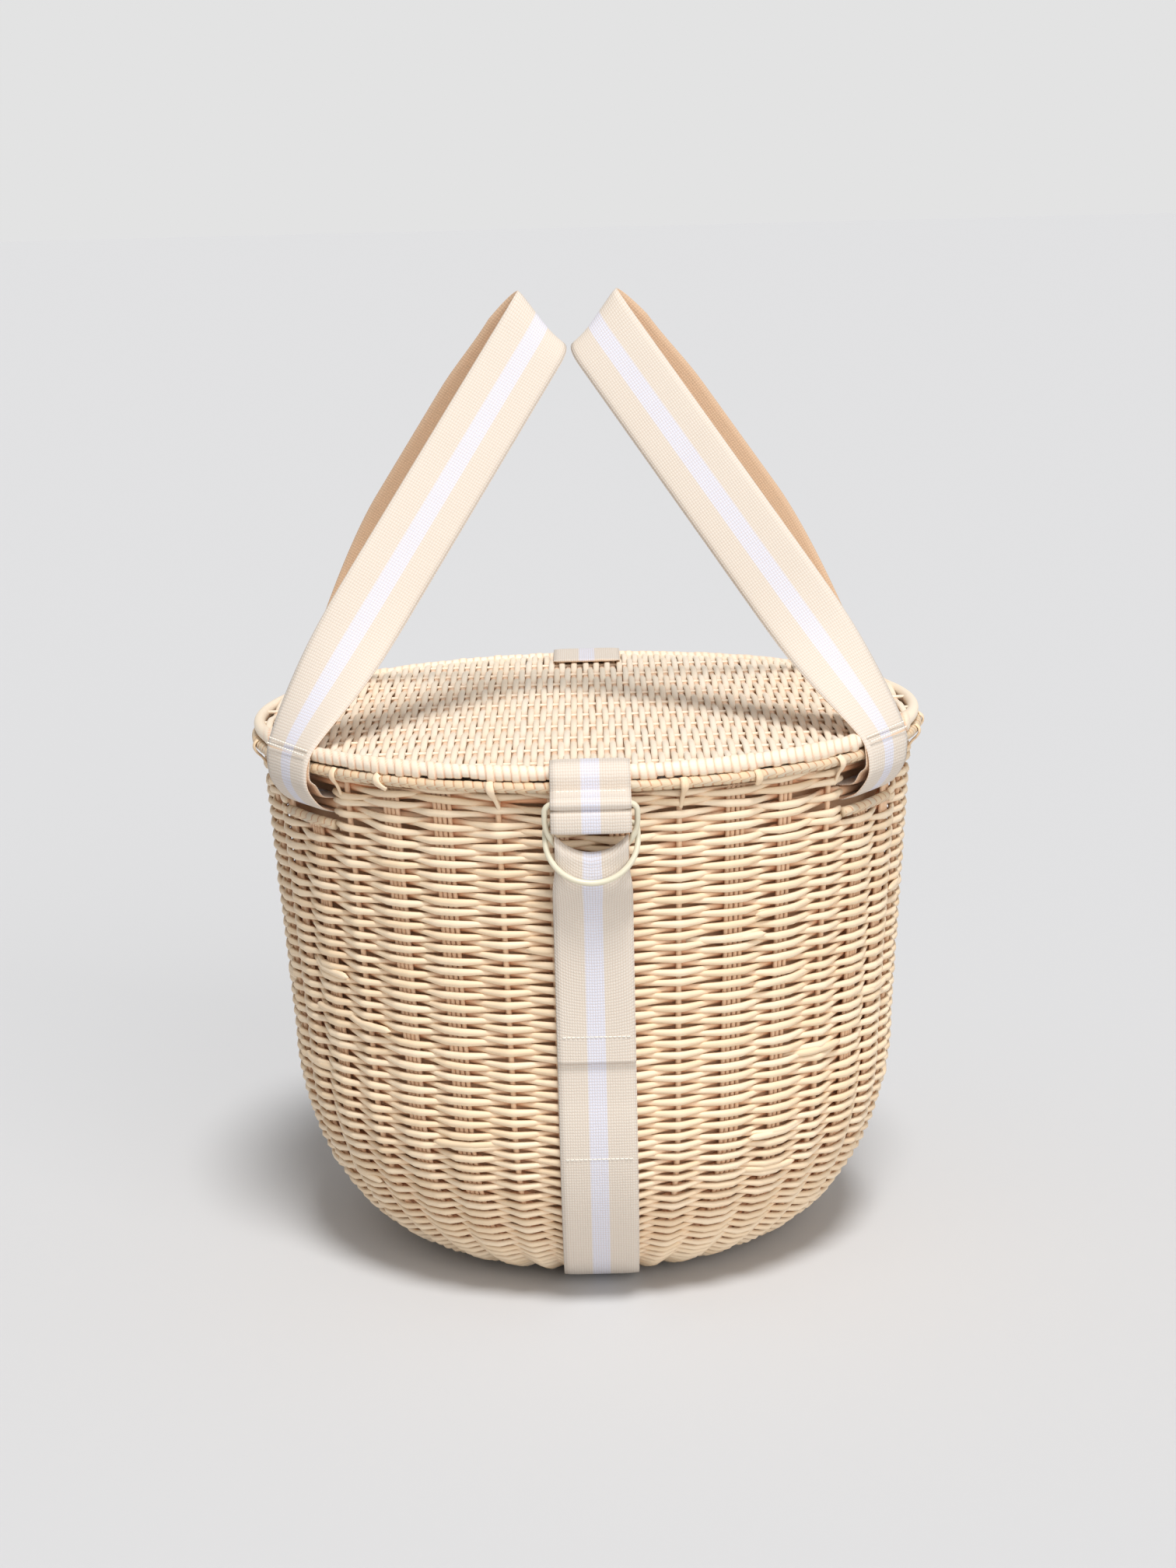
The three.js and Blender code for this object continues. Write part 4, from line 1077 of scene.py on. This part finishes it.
def loop_path():
    """(radius, height) of a handle's sewn end: from the seam in through the slot, under and round
    the inner hoop, out again and up behind the outer layer."""
    outer = RIM_HIGH[0] + 2.85 * MM
    under = RIM_HEIGHT - RIM_THICK / 2 - 6 * MM
    wrap = 3.6 * MM
    bow = 1.35 * MM
    through = ANCHOR_RADIUS + 8 * MM
    inwards = [(outer, HANDLE_FOOT), (outer, RIM_HEIGHT), (outer - 1.5 * MM, under - 1.5 * MM),
               (through + 1.5 * MM, ANCHOR_HEIGHT), (ANCHOR_RADIUS + wrap / 2, ANCHOR_HEIGHT - wrap)]
    around = round_wire((ANCHOR_RADIUS - bow, ANCHOR_HEIGHT), wrap, -90, -270, 7)
    outwards = [(ANCHOR_RADIUS + wrap / 2, ANCHOR_HEIGHT + wrap),
                (through, ANCHOR_HEIGHT + wrap + 1.5 * MM), (RIM_RADIUS, under),
                (OVER_RIM - 0.75 * MM, RIM_HEIGHT - RIM_THICK), (OVER_RIM, RIM_HEIGHT),
                (OVER_RIM, LID_HEIGHT - 0.3 * MM)]
    return np.concatenate([blend_points(inwards), around, blend_points(outwards)])


def handle_leg(side):
    """A handle's foot, the bend below its crest and its peak, and the directions across its foot
    and its leg."""
    turn = math.radians(SLOT_ANGLE)
    out = np.array([side * math.sin(turn), -math.cos(turn), 0])
    foot = out * loop_path()[0, 0] + UP * HANDLE_FOOT
    foot_across = np.array([-side * math.cos(turn), -math.sin(turn), 0])
    edge = (WEBBING_WIDTH * math.cos(CREST_LEAN) + 1.5 * MM * math.sin(CREST_LEAN) + 2.4 * MM) / 2
    top = np.array([CREST_SHIFT + side * edge, 0, LID_HEIGHT + CREST_RISE])
    slant = unit(top - foot) * 15 * MM
    slant[1] = 0
    peak = top + slant
    leg = peak - foot
    leg_across = unit(np.array([-side * leg[2], 0, -abs(leg[0])]))
    return foot, peak - unit(leg) * 30 * MM, peak, foot_across, leg_across


def leg_turn(share, foot_across, leg_across):
    """Direction across a handle at shares of its leg."""
    twist = smooth_share(share, *HANDLE_TWIST)
    return unit(foot_across * (1 - twist) + leg_across * twist)


def handle_grid(side):
    """Grid of a handle's webbing: the sewn end at the front, the leg that twists upright, the
    sharp crest, and the mirror image of all that at the back."""
    foot, bend, peak, foot_across, leg_across = handle_leg(side)
    outward = unit(foot * np.array([1, 1, 0]))
    loop = loop_path()[::-1]
    loop_centre = loop[:-1, :1] * outward + loop[:-1, 1:] * UP
    loop_turn = leg_turn((loop[:-1, 1:] - foot[2]) / (bend[2] - foot[2]), foot_across, leg_across)
    mirror = np.array([1, -1, 1])
    share = np.linspace(0, 1, 70, endpoint=False)[:, None]
    leg_centre = foot + (bend - foot) * share
    leg_across_line = leg_turn(share, foot_across, leg_across)

    # The back leg bows outwards, and the crest's far end is moved with it.
    bow = HANDLE_BOW * smooth_share(share, 0.1, 0.5) - HANDLE_BOW_LOST * smooth_share(share, 0.8, 1)
    back_leg = ((leg_centre - leg_across * bow) * mirror)[::-1]
    back_bend = (bend - leg_across * (HANDLE_BOW - HANDLE_BOW_LOST)) * mirror

    t = np.linspace(0, 1, 29)[:, None]
    upright = 1 - np.abs(2 * t - 1)
    crest = bend * (1 - t) ** 2 + peak * 2 * t * (1 - t) + back_bend * t ** 2
    peak_across = np.array([-side * math.cos(CREST_LEAN), 0, -math.sin(CREST_LEAN)])
    crest_turn = unit(leg_across * (1 - upright) + peak_across * upright)
    centre = np.concatenate([loop_centre, leg_centre, crest, back_leg, (loop_centre * mirror)[::-1]])
    across = np.concatenate([loop_turn, leg_across_line, crest_turn, (leg_across_line * mirror)[::-1],
                             (loop_turn * mirror)[::-1]])

    # Both feet are rounded off by averaging each point with its neighbours.
    foot_row = len(loop_centre)
    at_foot = np.arange(foot_row - 9, foot_row + 7)
    for near in (at_foot, len(centre) - 1 - at_foot):
        for _ in range(30):
            centre[near] = (centre[near - 1] + 2 * centre[near] + centre[near + 1]) / 4

    # At the crest the lower edge, which faces the other handle, curls up.
    grid = across_strip(centre, across)
    start = foot_row + len(share)
    curl = np.clip((np.linspace(-0.5, 0.5, WEBBING_COLUMNS) - 0.1) / 0.4, 0, 1) ** 2
    grid[start:start + len(t)] += (upright ** 2 * curl)[..., None] * np.array([-side * 0.7, 0, 3.4]) * MM
    return grid


class BASKET_OT_handles(bpy.types.Operator):
    """Sews the two webbing handles, each with its looped ends."""
    bl_idname = "basket.handles"
    bl_label = "Handles"

    def execute(self, context):
        for word, side in (("left", -1), ("right", 1)):
            piece = cloth(f"handle_{word}", handle_grid(side), flip=side < 0)
            dress(piece, webbing_material())
            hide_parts(f"handle_{word}_webbing", f"handle_loop_{word}_front",
                        f"handle_loop_{word}_back")
            for part in (piece, self.seams(word, side)):
                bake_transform(part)
        return {"FINISHED"}

    def seams(self, word, side):
        """Two rows of stitches across each looped end, just above the rim."""
        foot, bend, _, foot_across, leg_across = handle_leg(side)
        rows = []
        for height in (0.5 * MM, 2.7 * MM):
            share = np.array([height / (bend[2] - foot[2])])
            across = leg_turn(share, foot_across, leg_across)
            facing = unit(np.cross(bend - foot, across))
            facing = facing * np.sign(facing[0] * side)
            middle = foot + (bend - foot) * share + facing * 0.8 * MM
            for mirror in ((1, 1, 1), (1, -1, 1)):
                rows.append((middle * mirror, across * mirror, facing * mirror))
        return stitches(f"handle_{word}_stitches", rows)


def on_upper_ring(reach):
    """(distance in front, height) of the upper ring's wire at a reach below its bar."""
    return UPPER_BAR[0] + reach * math.sin(UPPER_TILT), UPPER_BAR[1] - reach * math.cos(UPPER_TILT)


def on_taper(height, gap=WEBBING_GAP):
    """(distance in front, height) of webbing that hangs a gap outside the wall's taper."""
    return wall_radius(height) + gap, height


class BASKET_OT_closure(bpy.types.Operator):
    """Makes the closure strap, its threaded end, the lid's tab and tail, and the fabric hinge."""
    bl_idname = "basket.closure"
    bl_label = "Closure"

    def execute(self, context):
        self.standing()
        self.threaded()
        self.tab()
        self.tail()
        self.hinge()
        self.seams()
        return {"FINISHED"}

    def piece(self, name, grid, body=None, flip=False):
        """One length of webbing, dressed."""
        return dress(cloth(name, grid, flip), webbing_material(), body)

    def standing(self):
        """The strap from high on the back, under the base, to its seam on the front."""
        front, _ = on_wall(np.linspace(0, 1, 160), np.full(160, -WEBBING_GAP))
        back = front[::-1]
        back = back[back[:, 1] < STRAP_TOP] * TO_BACK
        front = front[front[:, 1] < STRAP_SEAM]
        grid = strap_grid(np.concatenate([back, front]), 240)
        strap = self.piece("closure_strap_standing", grid, "basket", flip=True)
        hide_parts("closure_strap")

    def threaded(self):
        """The threaded end: up behind the rings, over the upper ring's arc and down in front. It is
        drawn line by line, because the fold follows the arc, and is pinched a little there."""
        thick = sizes().webbing_thickness
        drop = RING_HEIGHT - RING_LEG
        lowest_out, lowest = on_upper_ring(RING_HEIGHT)
        pinned = lowest - 2 * thick
        lower_wire = LOWER_BAR[0] + (LOWER_BAR[1] - pinned) * math.tan(LOWER_TILT)
        in_front = WEBBING_GAP + thick + LAYER_GAP
        behind = [on_taper(STRAP_SEAM + 0.3 * MM), on_taper(STRAP_SEAM + 3 * RING_WRAP),
                  (lowest_out - RING_WRAP - thick / 2, lowest - 3 * RING_WRAP)]
        down = [(min(lowest_out + RING_WRAP, lower_wire - RING_WRAP), pinned),
                (lowest_out + thick / 2, lowest - RING_HEIGHT / 2),
                on_taper(STRAP_SEAM + 3 * RING_WRAP, in_front + thick),
                on_taper(STRAP_SEAM - 9.5 * MM, in_front),
                on_taper((STRAP_SEAM + STRAP_END) / 2, in_front), on_taper(STRAP_END, in_front)]
        widths = np.array([38.0] * 2 + [36.0] + [34.8] * 6 + [37.6] + [38.0] * 4) * MM
        lines = []
        for share in np.linspace(-1, 1, WEBBING_COLUMNS):
            x = share * FOLD_HALF_WIDTH
            rise = math.sqrt(1 - (x / RING_HALF_WIDTH) ** 2)
            radius = RING_WRAP * math.hypot(1, drop * x / (RING_HALF_WIDTH ** 2 * rise))
            fold = round_wire(on_upper_ring(RING_LEG + drop * rise), radius, 180, 0, 5)
            path = np.array(behind + fold + down)
            line = np.stack([STRAP_X + share * widths / 2, -path[:, 0], path[:, 1]], 1)
            lines.append(even(blend_points(line, 8), 150))
        threaded = self.piece("closure_strap_threaded", np.stack(lines, 1), "basket")
        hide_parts("closure_strap_end")

    def from_lid(self, reach):
        """Points of webbing from a reach inside the lid's hoop, over it and down to the rim."""
        over = 4.65 * MM
        flat = LID_HEIGHT + 4.35 * MM
        return [(LID_RADIUS - reach, flat), (LID_RADIUS - reach / 2, flat), (LID_RADIUS, LID_HEIGHT + over),
                (LID_RADIUS + over * 0.707, LID_HEIGHT + over * 0.707),
                (OVER_RIM, LID_HEIGHT - sizes().webbing_thickness / 2), (OVER_RIM, RIM_HEIGHT)]

    def tab(self):
        """The tab, sewn over the lid's edge, with its eye round the upper ring's bar."""
        thick = sizes().webbing_thickness
        eye = UPPER_BAR[1] + EYE_REACH
        path = self.from_lid(TAB_REACH)
        path += [(OVER_RIM + thick, eye + thick / 2), (UPPER_BAR[0] - thick, eye - thick / 2)]
        path += round_wire(UPPER_BAR, RING_WRAP, 100, -215)
        tab = self.piece("lid_tab", strap_grid(blend_points(path), 110), "lid")
        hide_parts("lid_front_tab")

    def tail(self):
        """The tab's tail: a flap down in front of the lower ring's bar, and its eye round it."""
        thick = sizes().webbing_thickness
        front = UPPER_BAR[0] + 1.4 * MM
        low = UPPER_BAR[1] - EYE_REACH
        path = [(OVER_RIM, UPPER_BAR[1] + thick), (OVER_RIM + 2 * thick, low - thick),
                (front - 2 * thick, low - 0.3 * MM), (front, low - 1.6 * MM),
                (front + 0.2 * MM, LOWER_BAR[1]), (front - thick, LOWER_BAR[1] - EYE_REACH + 0.3 * MM)]
        path += round_wire(LOWER_BAR, RING_WRAP, -90, -215)
        tail = self.piece("lid_tail", strap_grid(blend_points(path), 80), "lid")
        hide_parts("lid_ring_tail")

    def hinge(self):
        """The webbing over the back edge of the lid, down to the strap."""
        thick = sizes().webbing_thickness
        path = self.from_lid(HINGE_REACH)
        path += [(OVER_RIM - thick / 2, RIM_HEIGHT - RIM_THICK / 2 - thick),
                 on_taper(STRAP_TOP + 2 * thick), on_taper(STRAP_TOP + 0.2 * MM)]
        hinge = self.piece("lid_hinge_strap", strap_grid(blend_points(path) * TO_BACK, 80), flip=True)
        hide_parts("lid_hinge_webbing")
        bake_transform(hinge)

    def seams(self):
        """Stitches above the tab's ring, along the threaded end's hem and low on the strap."""
        thick = sizes().webbing_thickness
        tab = np.array([STRAP_X, -(OVER_RIM + thick * ON_TWO_LAYERS), UPPER_BAR[1] + 4.4 * MM])
        stitches("tab_stitches", [(tab, ACROSS, FRONT)], "lid")
        hem_height = STRAP_END + HEM_DEPTH
        hem_out, _ = on_taper(hem_height, WEBBING_GAP + thick * ON_TWO_LAYERS + LAYER_GAP)
        hem = np.array([STRAP_X, -hem_out, hem_height])
        path, normal = wall_outline()
        low = np.argmin(np.abs(path[:, 1] - STRAP_TACK))
        facing = np.array([0, -normal[low, 0], normal[low, 1]])
        tack_out = WEBBING_GAP + thick * ON_ONE_LAYER
        tack = np.array([STRAP_X, -path[low, 0], path[low, 1]]) + facing * tack_out
        stitches("strap_stitches", [(hem, ACROSS, FRONT), (tack, ACROSS, facing)], "basket")


class BASKET_OT_rings(bpy.types.Operator):
    """Bends the two buckle rings from wire: a straight bar and a wide arc."""
    bl_idname = "basket.rings"
    bl_label = "Rings"

    def execute(self, context):
        flat = self.outline()
        for word, bar, lean in (("upper", UPPER_BAR, UPPER_TILT), ("lower", LOWER_BAR, LOWER_TILT)):
            path = np.stack([STRAP_X + flat[:, 0], -bar[0] + flat[:, 1] * math.sin(lean),
                             bar[1] + flat[:, 1] * math.cos(lean)], 1)
            face = np.array([0, -math.cos(lean), math.sin(lean)])
            ring = canes(f"ring_{word}", path[None], face, RING_WIRE, RING_WIRE, 14, True, 21)
            dress(ring, enamel_material(), f"buckle_ring_{word}")
            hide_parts(f"buckle_ring_{word}")
        return {"FINISHED"}

    def outline(self):
        """(across, up) points evenly round a ring: its bar, two rounded corners and half an ellipse."""
        corner = RING_LEG / 2
        a = np.linspace(0, math.pi / 2, 8)
        bend = np.stack([RING_HALF_WIDTH - corner + corner * np.sin(a), corner * np.cos(a) - corner], 1)
        a = np.linspace(0, math.pi, 60)
        bow = np.stack([RING_HALF_WIDTH * np.cos(a), -RING_LEG - (RING_HEIGHT - RING_LEG) * np.sin(a)], 1)
        return even(np.concatenate([bend, bow, bend[::-1] * TO_BACK, bend[:1]]), 121)[:-1]


def dense(outline):
    """A closed outline with points added along its longer sides, the outer ones close to the
    corners so that a smooth surface stays flat between them."""
    longest, edge = 4 * MM, 0.5 * MM
    corners = np.asarray(outline, float)
    lines = []
    for start, end in zip(corners, np.roll(corners, -1, 0)):
        side = np.linalg.norm(end - start)
        shares = np.zeros(1)
        if side > longest:
            shares = np.append(shares, np.linspace(edge, side - edge, math.ceil(side / longest) + 1) / side)
        lines.append(start + (end - start) * shares[:, None])
    return np.concatenate(lines)


def turned_shell(name, outline, **attributes):
    """A closed surface of revolution about the basket's axis from a closed outline."""
    angles = (np.arange(96) * TAU / 96)[:, None]
    points = turned(outline[:, 0], angles, outline[:, 1])
    share = np.linspace(0, 1, len(outline), endpoint=False)
    uv = np.stack(np.broadcast_arrays(angles * 0.15, share), -1)
    return grid_piece(name, points[None], uv[None], True, **attributes)


def liner_skin(depth, top):
    """(radius, height) up the liner at a depth inside its outer face."""
    a = np.linspace(math.pi / 2, 0, 24)
    across = LINER_TURN_RADIUS - LINER_BASE_RADIUS
    down = WALL_TURN - LINER_BASE
    curve = np.stack([LINER_BASE_RADIUS + across * np.cos(a), WALL_TURN - down * np.sin(a)], 1)
    facing = unit(np.stack([np.cos(a) / across, -np.sin(a) / down], 1))
    return np.concatenate([[[POLE_RADIUS, LINER_BASE + depth]], curve - facing * depth,
                           [[LINER_TOP_RADIUS - depth, top]]])


def liner_wall(depths, top):
    """Outline of a liner's layer between two depths inside its outer face."""
    outer, inner = depths
    return dense(np.concatenate([liner_skin(outer, top), liner_skin(inner, top)[::-1]]))


class BASKET_OT_liner(bpy.types.Operator):
    """Makes the insulated liner and the lid's padded lining."""
    bl_idname = "basket.liner"
    bl_label = "Liner"

    def execute(self, context):
        top = WALL_TOP - 2.3 * MM
        cover = turned_shell("liner_cloth", liner_wall(COVER_DEPTHS, top))
        dress(cover, cloth_material("liner_cloth", "liner_cloth"), "basket")
        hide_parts("liner_cover")
        foam = turned_shell("liner_padding", liner_wall(FOAM_DEPTHS, top))
        dress(foam, cloth_material("foam_skin", "foam", 600.0), "basket")
        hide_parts("liner_foam")
        self.foil()
        self.lid_lining()
        self.lid_padding()
        return {"FINISHED"}

    def foil(self):
        """The foil, with a collar that reaches out over the uprights."""
        outer, inner = FOIL_DEPTHS
        low = WALL_TOP - 2 * MM
        high = low + 1 * MM
        outline = dense(np.concatenate([liner_skin(outer, low), [[COLLAR_EDGE, low], [COLLAR_EDGE, high]],
                                        liner_skin(inner, high)[::-1]]))
        foil = turned_shell("liner_lining", outline, collar=(outline[:, 0] > COLLAR_START).astype(float))
        dress(foil, foil_material(), "basket")
        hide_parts("liner_foil")

    def lid_lining(self):
        """A shallow foil tray under the lid's padding."""
        low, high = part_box("lid_lining")
        skin_depth = 1 * MM
        a = np.linspace(math.pi / 2, 0, 8)
        bend = np.stack([high[0] - PAD_CORNER + PAD_CORNER * np.cos(a),
                         low[2] + PAD_CORNER - PAD_CORNER * np.sin(a)], 1)
        skin = np.concatenate([[[POLE_RADIUS, low[2]]], bend, [[high[0], high[2]]]])
        inner = skin + np.array([0, skin_depth])
        inner[1:, 0] -= skin_depth
        inner[-1, 1] = high[2]
        tray = turned_shell("lid_pad_lining", dense(np.concatenate([skin, inner[::-1]])))
        dress(tray, foil_material(), "lid")
        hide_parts("lid_lining")

    def lid_padding(self):
        """The lid's padding, with the cloth under the weave as a thin step on its top."""
        low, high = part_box("lid_foam")
        cloth_edge = LID_RADIUS - 5 * MM
        ledge = high[2] - FILL_LEDGE
        fill = np.array([[POLE_RADIUS, low[2]], [high[0] - FILL_CORNER, low[2]],
                         [high[0], low[2] + FILL_CORNER], [high[0], ledge],
                         [cloth_edge, ledge], [cloth_edge, high[2]], [POLE_RADIUS, high[2]]])
        block = turned_shell("lid_padding", dense(fill))
        dress(block, cloth_material("backing_cloth", "backing"), "lid")
        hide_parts("lid_foam")


class BASKET_OT_stage(bpy.types.Operator):
    """Sets the camera, the floor, the light and the backdrop."""
    bl_idname = "basket.stage"
    bl_label = "Stage"

    def execute(self, context):
        scene = context.scene
        scene.view_settings.view_transform = "Standard"
        self.camera(scene)
        self.floor(scene)
        self.lamps(scene)
        self.surround(scene)
        return {"FINISHED"}

    def camera(self, scene):
        """The photograph's view, tilted down and a little turned about its own axis."""
        camera = bpy.data.cameras.new("camera")
        camera.lens = FOCAL_PIXELS / FRAME_PIXELS * SENSOR
        camera.clip_end = 200
        eye = bpy.data.objects.new("camera", camera)
        scene.collection.objects.link(eye)
        ahead = Vector((0, math.cos(CAMERA_PITCH), -math.sin(CAMERA_PITCH)))
        right = ahead.cross(Vector((0, 0, 1))).normalized()
        above = right.cross(ahead)
        rolled = right * math.cos(CAMERA_ROLL) + above * math.sin(CAMERA_ROLL)
        upright = above * math.cos(CAMERA_ROLL) - right * math.sin(CAMERA_ROLL)
        turn = Matrix((rolled, upright, -ahead)).transposed()
        eye.matrix_world = Matrix.Translation(CAMERA_PLACE) @ turn.to_4x4()
        scene.camera = eye

    def floor(self, scene):
        """A plain pale square far wider than the view."""
        reach = FLOOR_REACH
        plane = bpy.data.meshes.new("floor")
        corners = [(-reach, -reach, 0), (reach, -reach, 0), (reach, reach, 0), (-reach, reach, 0)]
        plane.from_pydata(corners, [], [(0, 1, 2, 3)])
        floor = bpy.data.objects.new("floor", plane)
        scene.collection.objects.link(floor)
        material, graph = start_material("floor_paper", roughness=1.0, specular_ior_level=0.0)
        graph.colour(paint("floor"))
        plane.materials.append(material)

    def lamps(self, scene):
        """A soft lamp high in front, and a wide one low in front on the right."""
        for name, energy, angle, way in LAMPS:
            lamp = bpy.data.lights.new(name, "SUN")
            lamp.energy = energy
            lamp.angle = math.radians(angle)
            sun = bpy.data.objects.new(name, lamp)
            scene.collection.objects.link(sun)
            sun.rotation_euler = Vector(way).to_track_quat("-Z", "Y").to_euler()

    def surround(self, scene):
        """An even white light, which the camera sees as the pale backdrop."""
        world = bpy.data.worlds.new("surround")
        scene.world = world
        world.use_nodes = True
        graph = Graph(world.node_tree, "Background")
        graph.put(graph.shader.inputs["Color"], (1, 1, 1))
        graph.put(graph.shader.inputs["Strength"], WORLD_STRENGTH)
        seen = graph.node("Background", (), {"Color": linear(*BACKDROP)})
        by_camera = graph.node("LightPath", (), (), "Is Camera Ray")
        lit = Socket(graph, graph.shader.outputs[0])
        mixed = graph.node("MixShader", (), {0: by_camera, 1: lit, 2: seen})
        graph.put(world.node_tree.nodes["World Output"].inputs["Surface"], mixed)


STEPS = (BASKET_OT_stage, BASKET_OT_wall, BASKET_OT_base, BASKET_OT_rims, BASKET_OT_lid, BASKET_OT_handles,
         BASKET_OT_closure, BASKET_OT_rings, BASKET_OT_liner)


class BASKET_PT_panel(bpy.types.Panel):
    """Lists the basket's pieces, sizes and colours."""
    bl_idname = "BASKET_PT_panel"
    bl_label = "Picnic Cooler Basket"
    bl_space_type = "VIEW_3D"
    bl_region_type = "UI"
    bl_category = "Basket"

    def draw(self, context):
        for step in STEPS:
            self.layout.operator(step.bl_idname)
        for group in (context.scene.basket_sizes, context.scene.basket_colours):
            for key in group.__annotations__:
                self.layout.prop(group, key)


CLASSES = (BasketSizes, BasketColours, *STEPS, BASKET_PT_panel)


def register():
    for cls in CLASSES:
        bpy.utils.register_class(cls)
    bpy.types.Scene.basket_sizes = bpy.props.PointerProperty(type=BasketSizes)
    bpy.types.Scene.basket_colours = bpy.props.PointerProperty(type=BasketColours)


def unregister():
    del bpy.types.Scene.basket_colours
    del bpy.types.Scene.basket_sizes
    for cls in reversed(CLASSES):
        bpy.utils.unregister_class(cls)


def main():
    register()
    for step in STEPS:
        group, word = step.bl_idname.split(".")
        if getattr(getattr(bpy.ops, group), word)() != {"FINISHED"}:
            raise RuntimeError(f"{step.bl_label} did not finish")


if __name__ == "__main__":
    main()
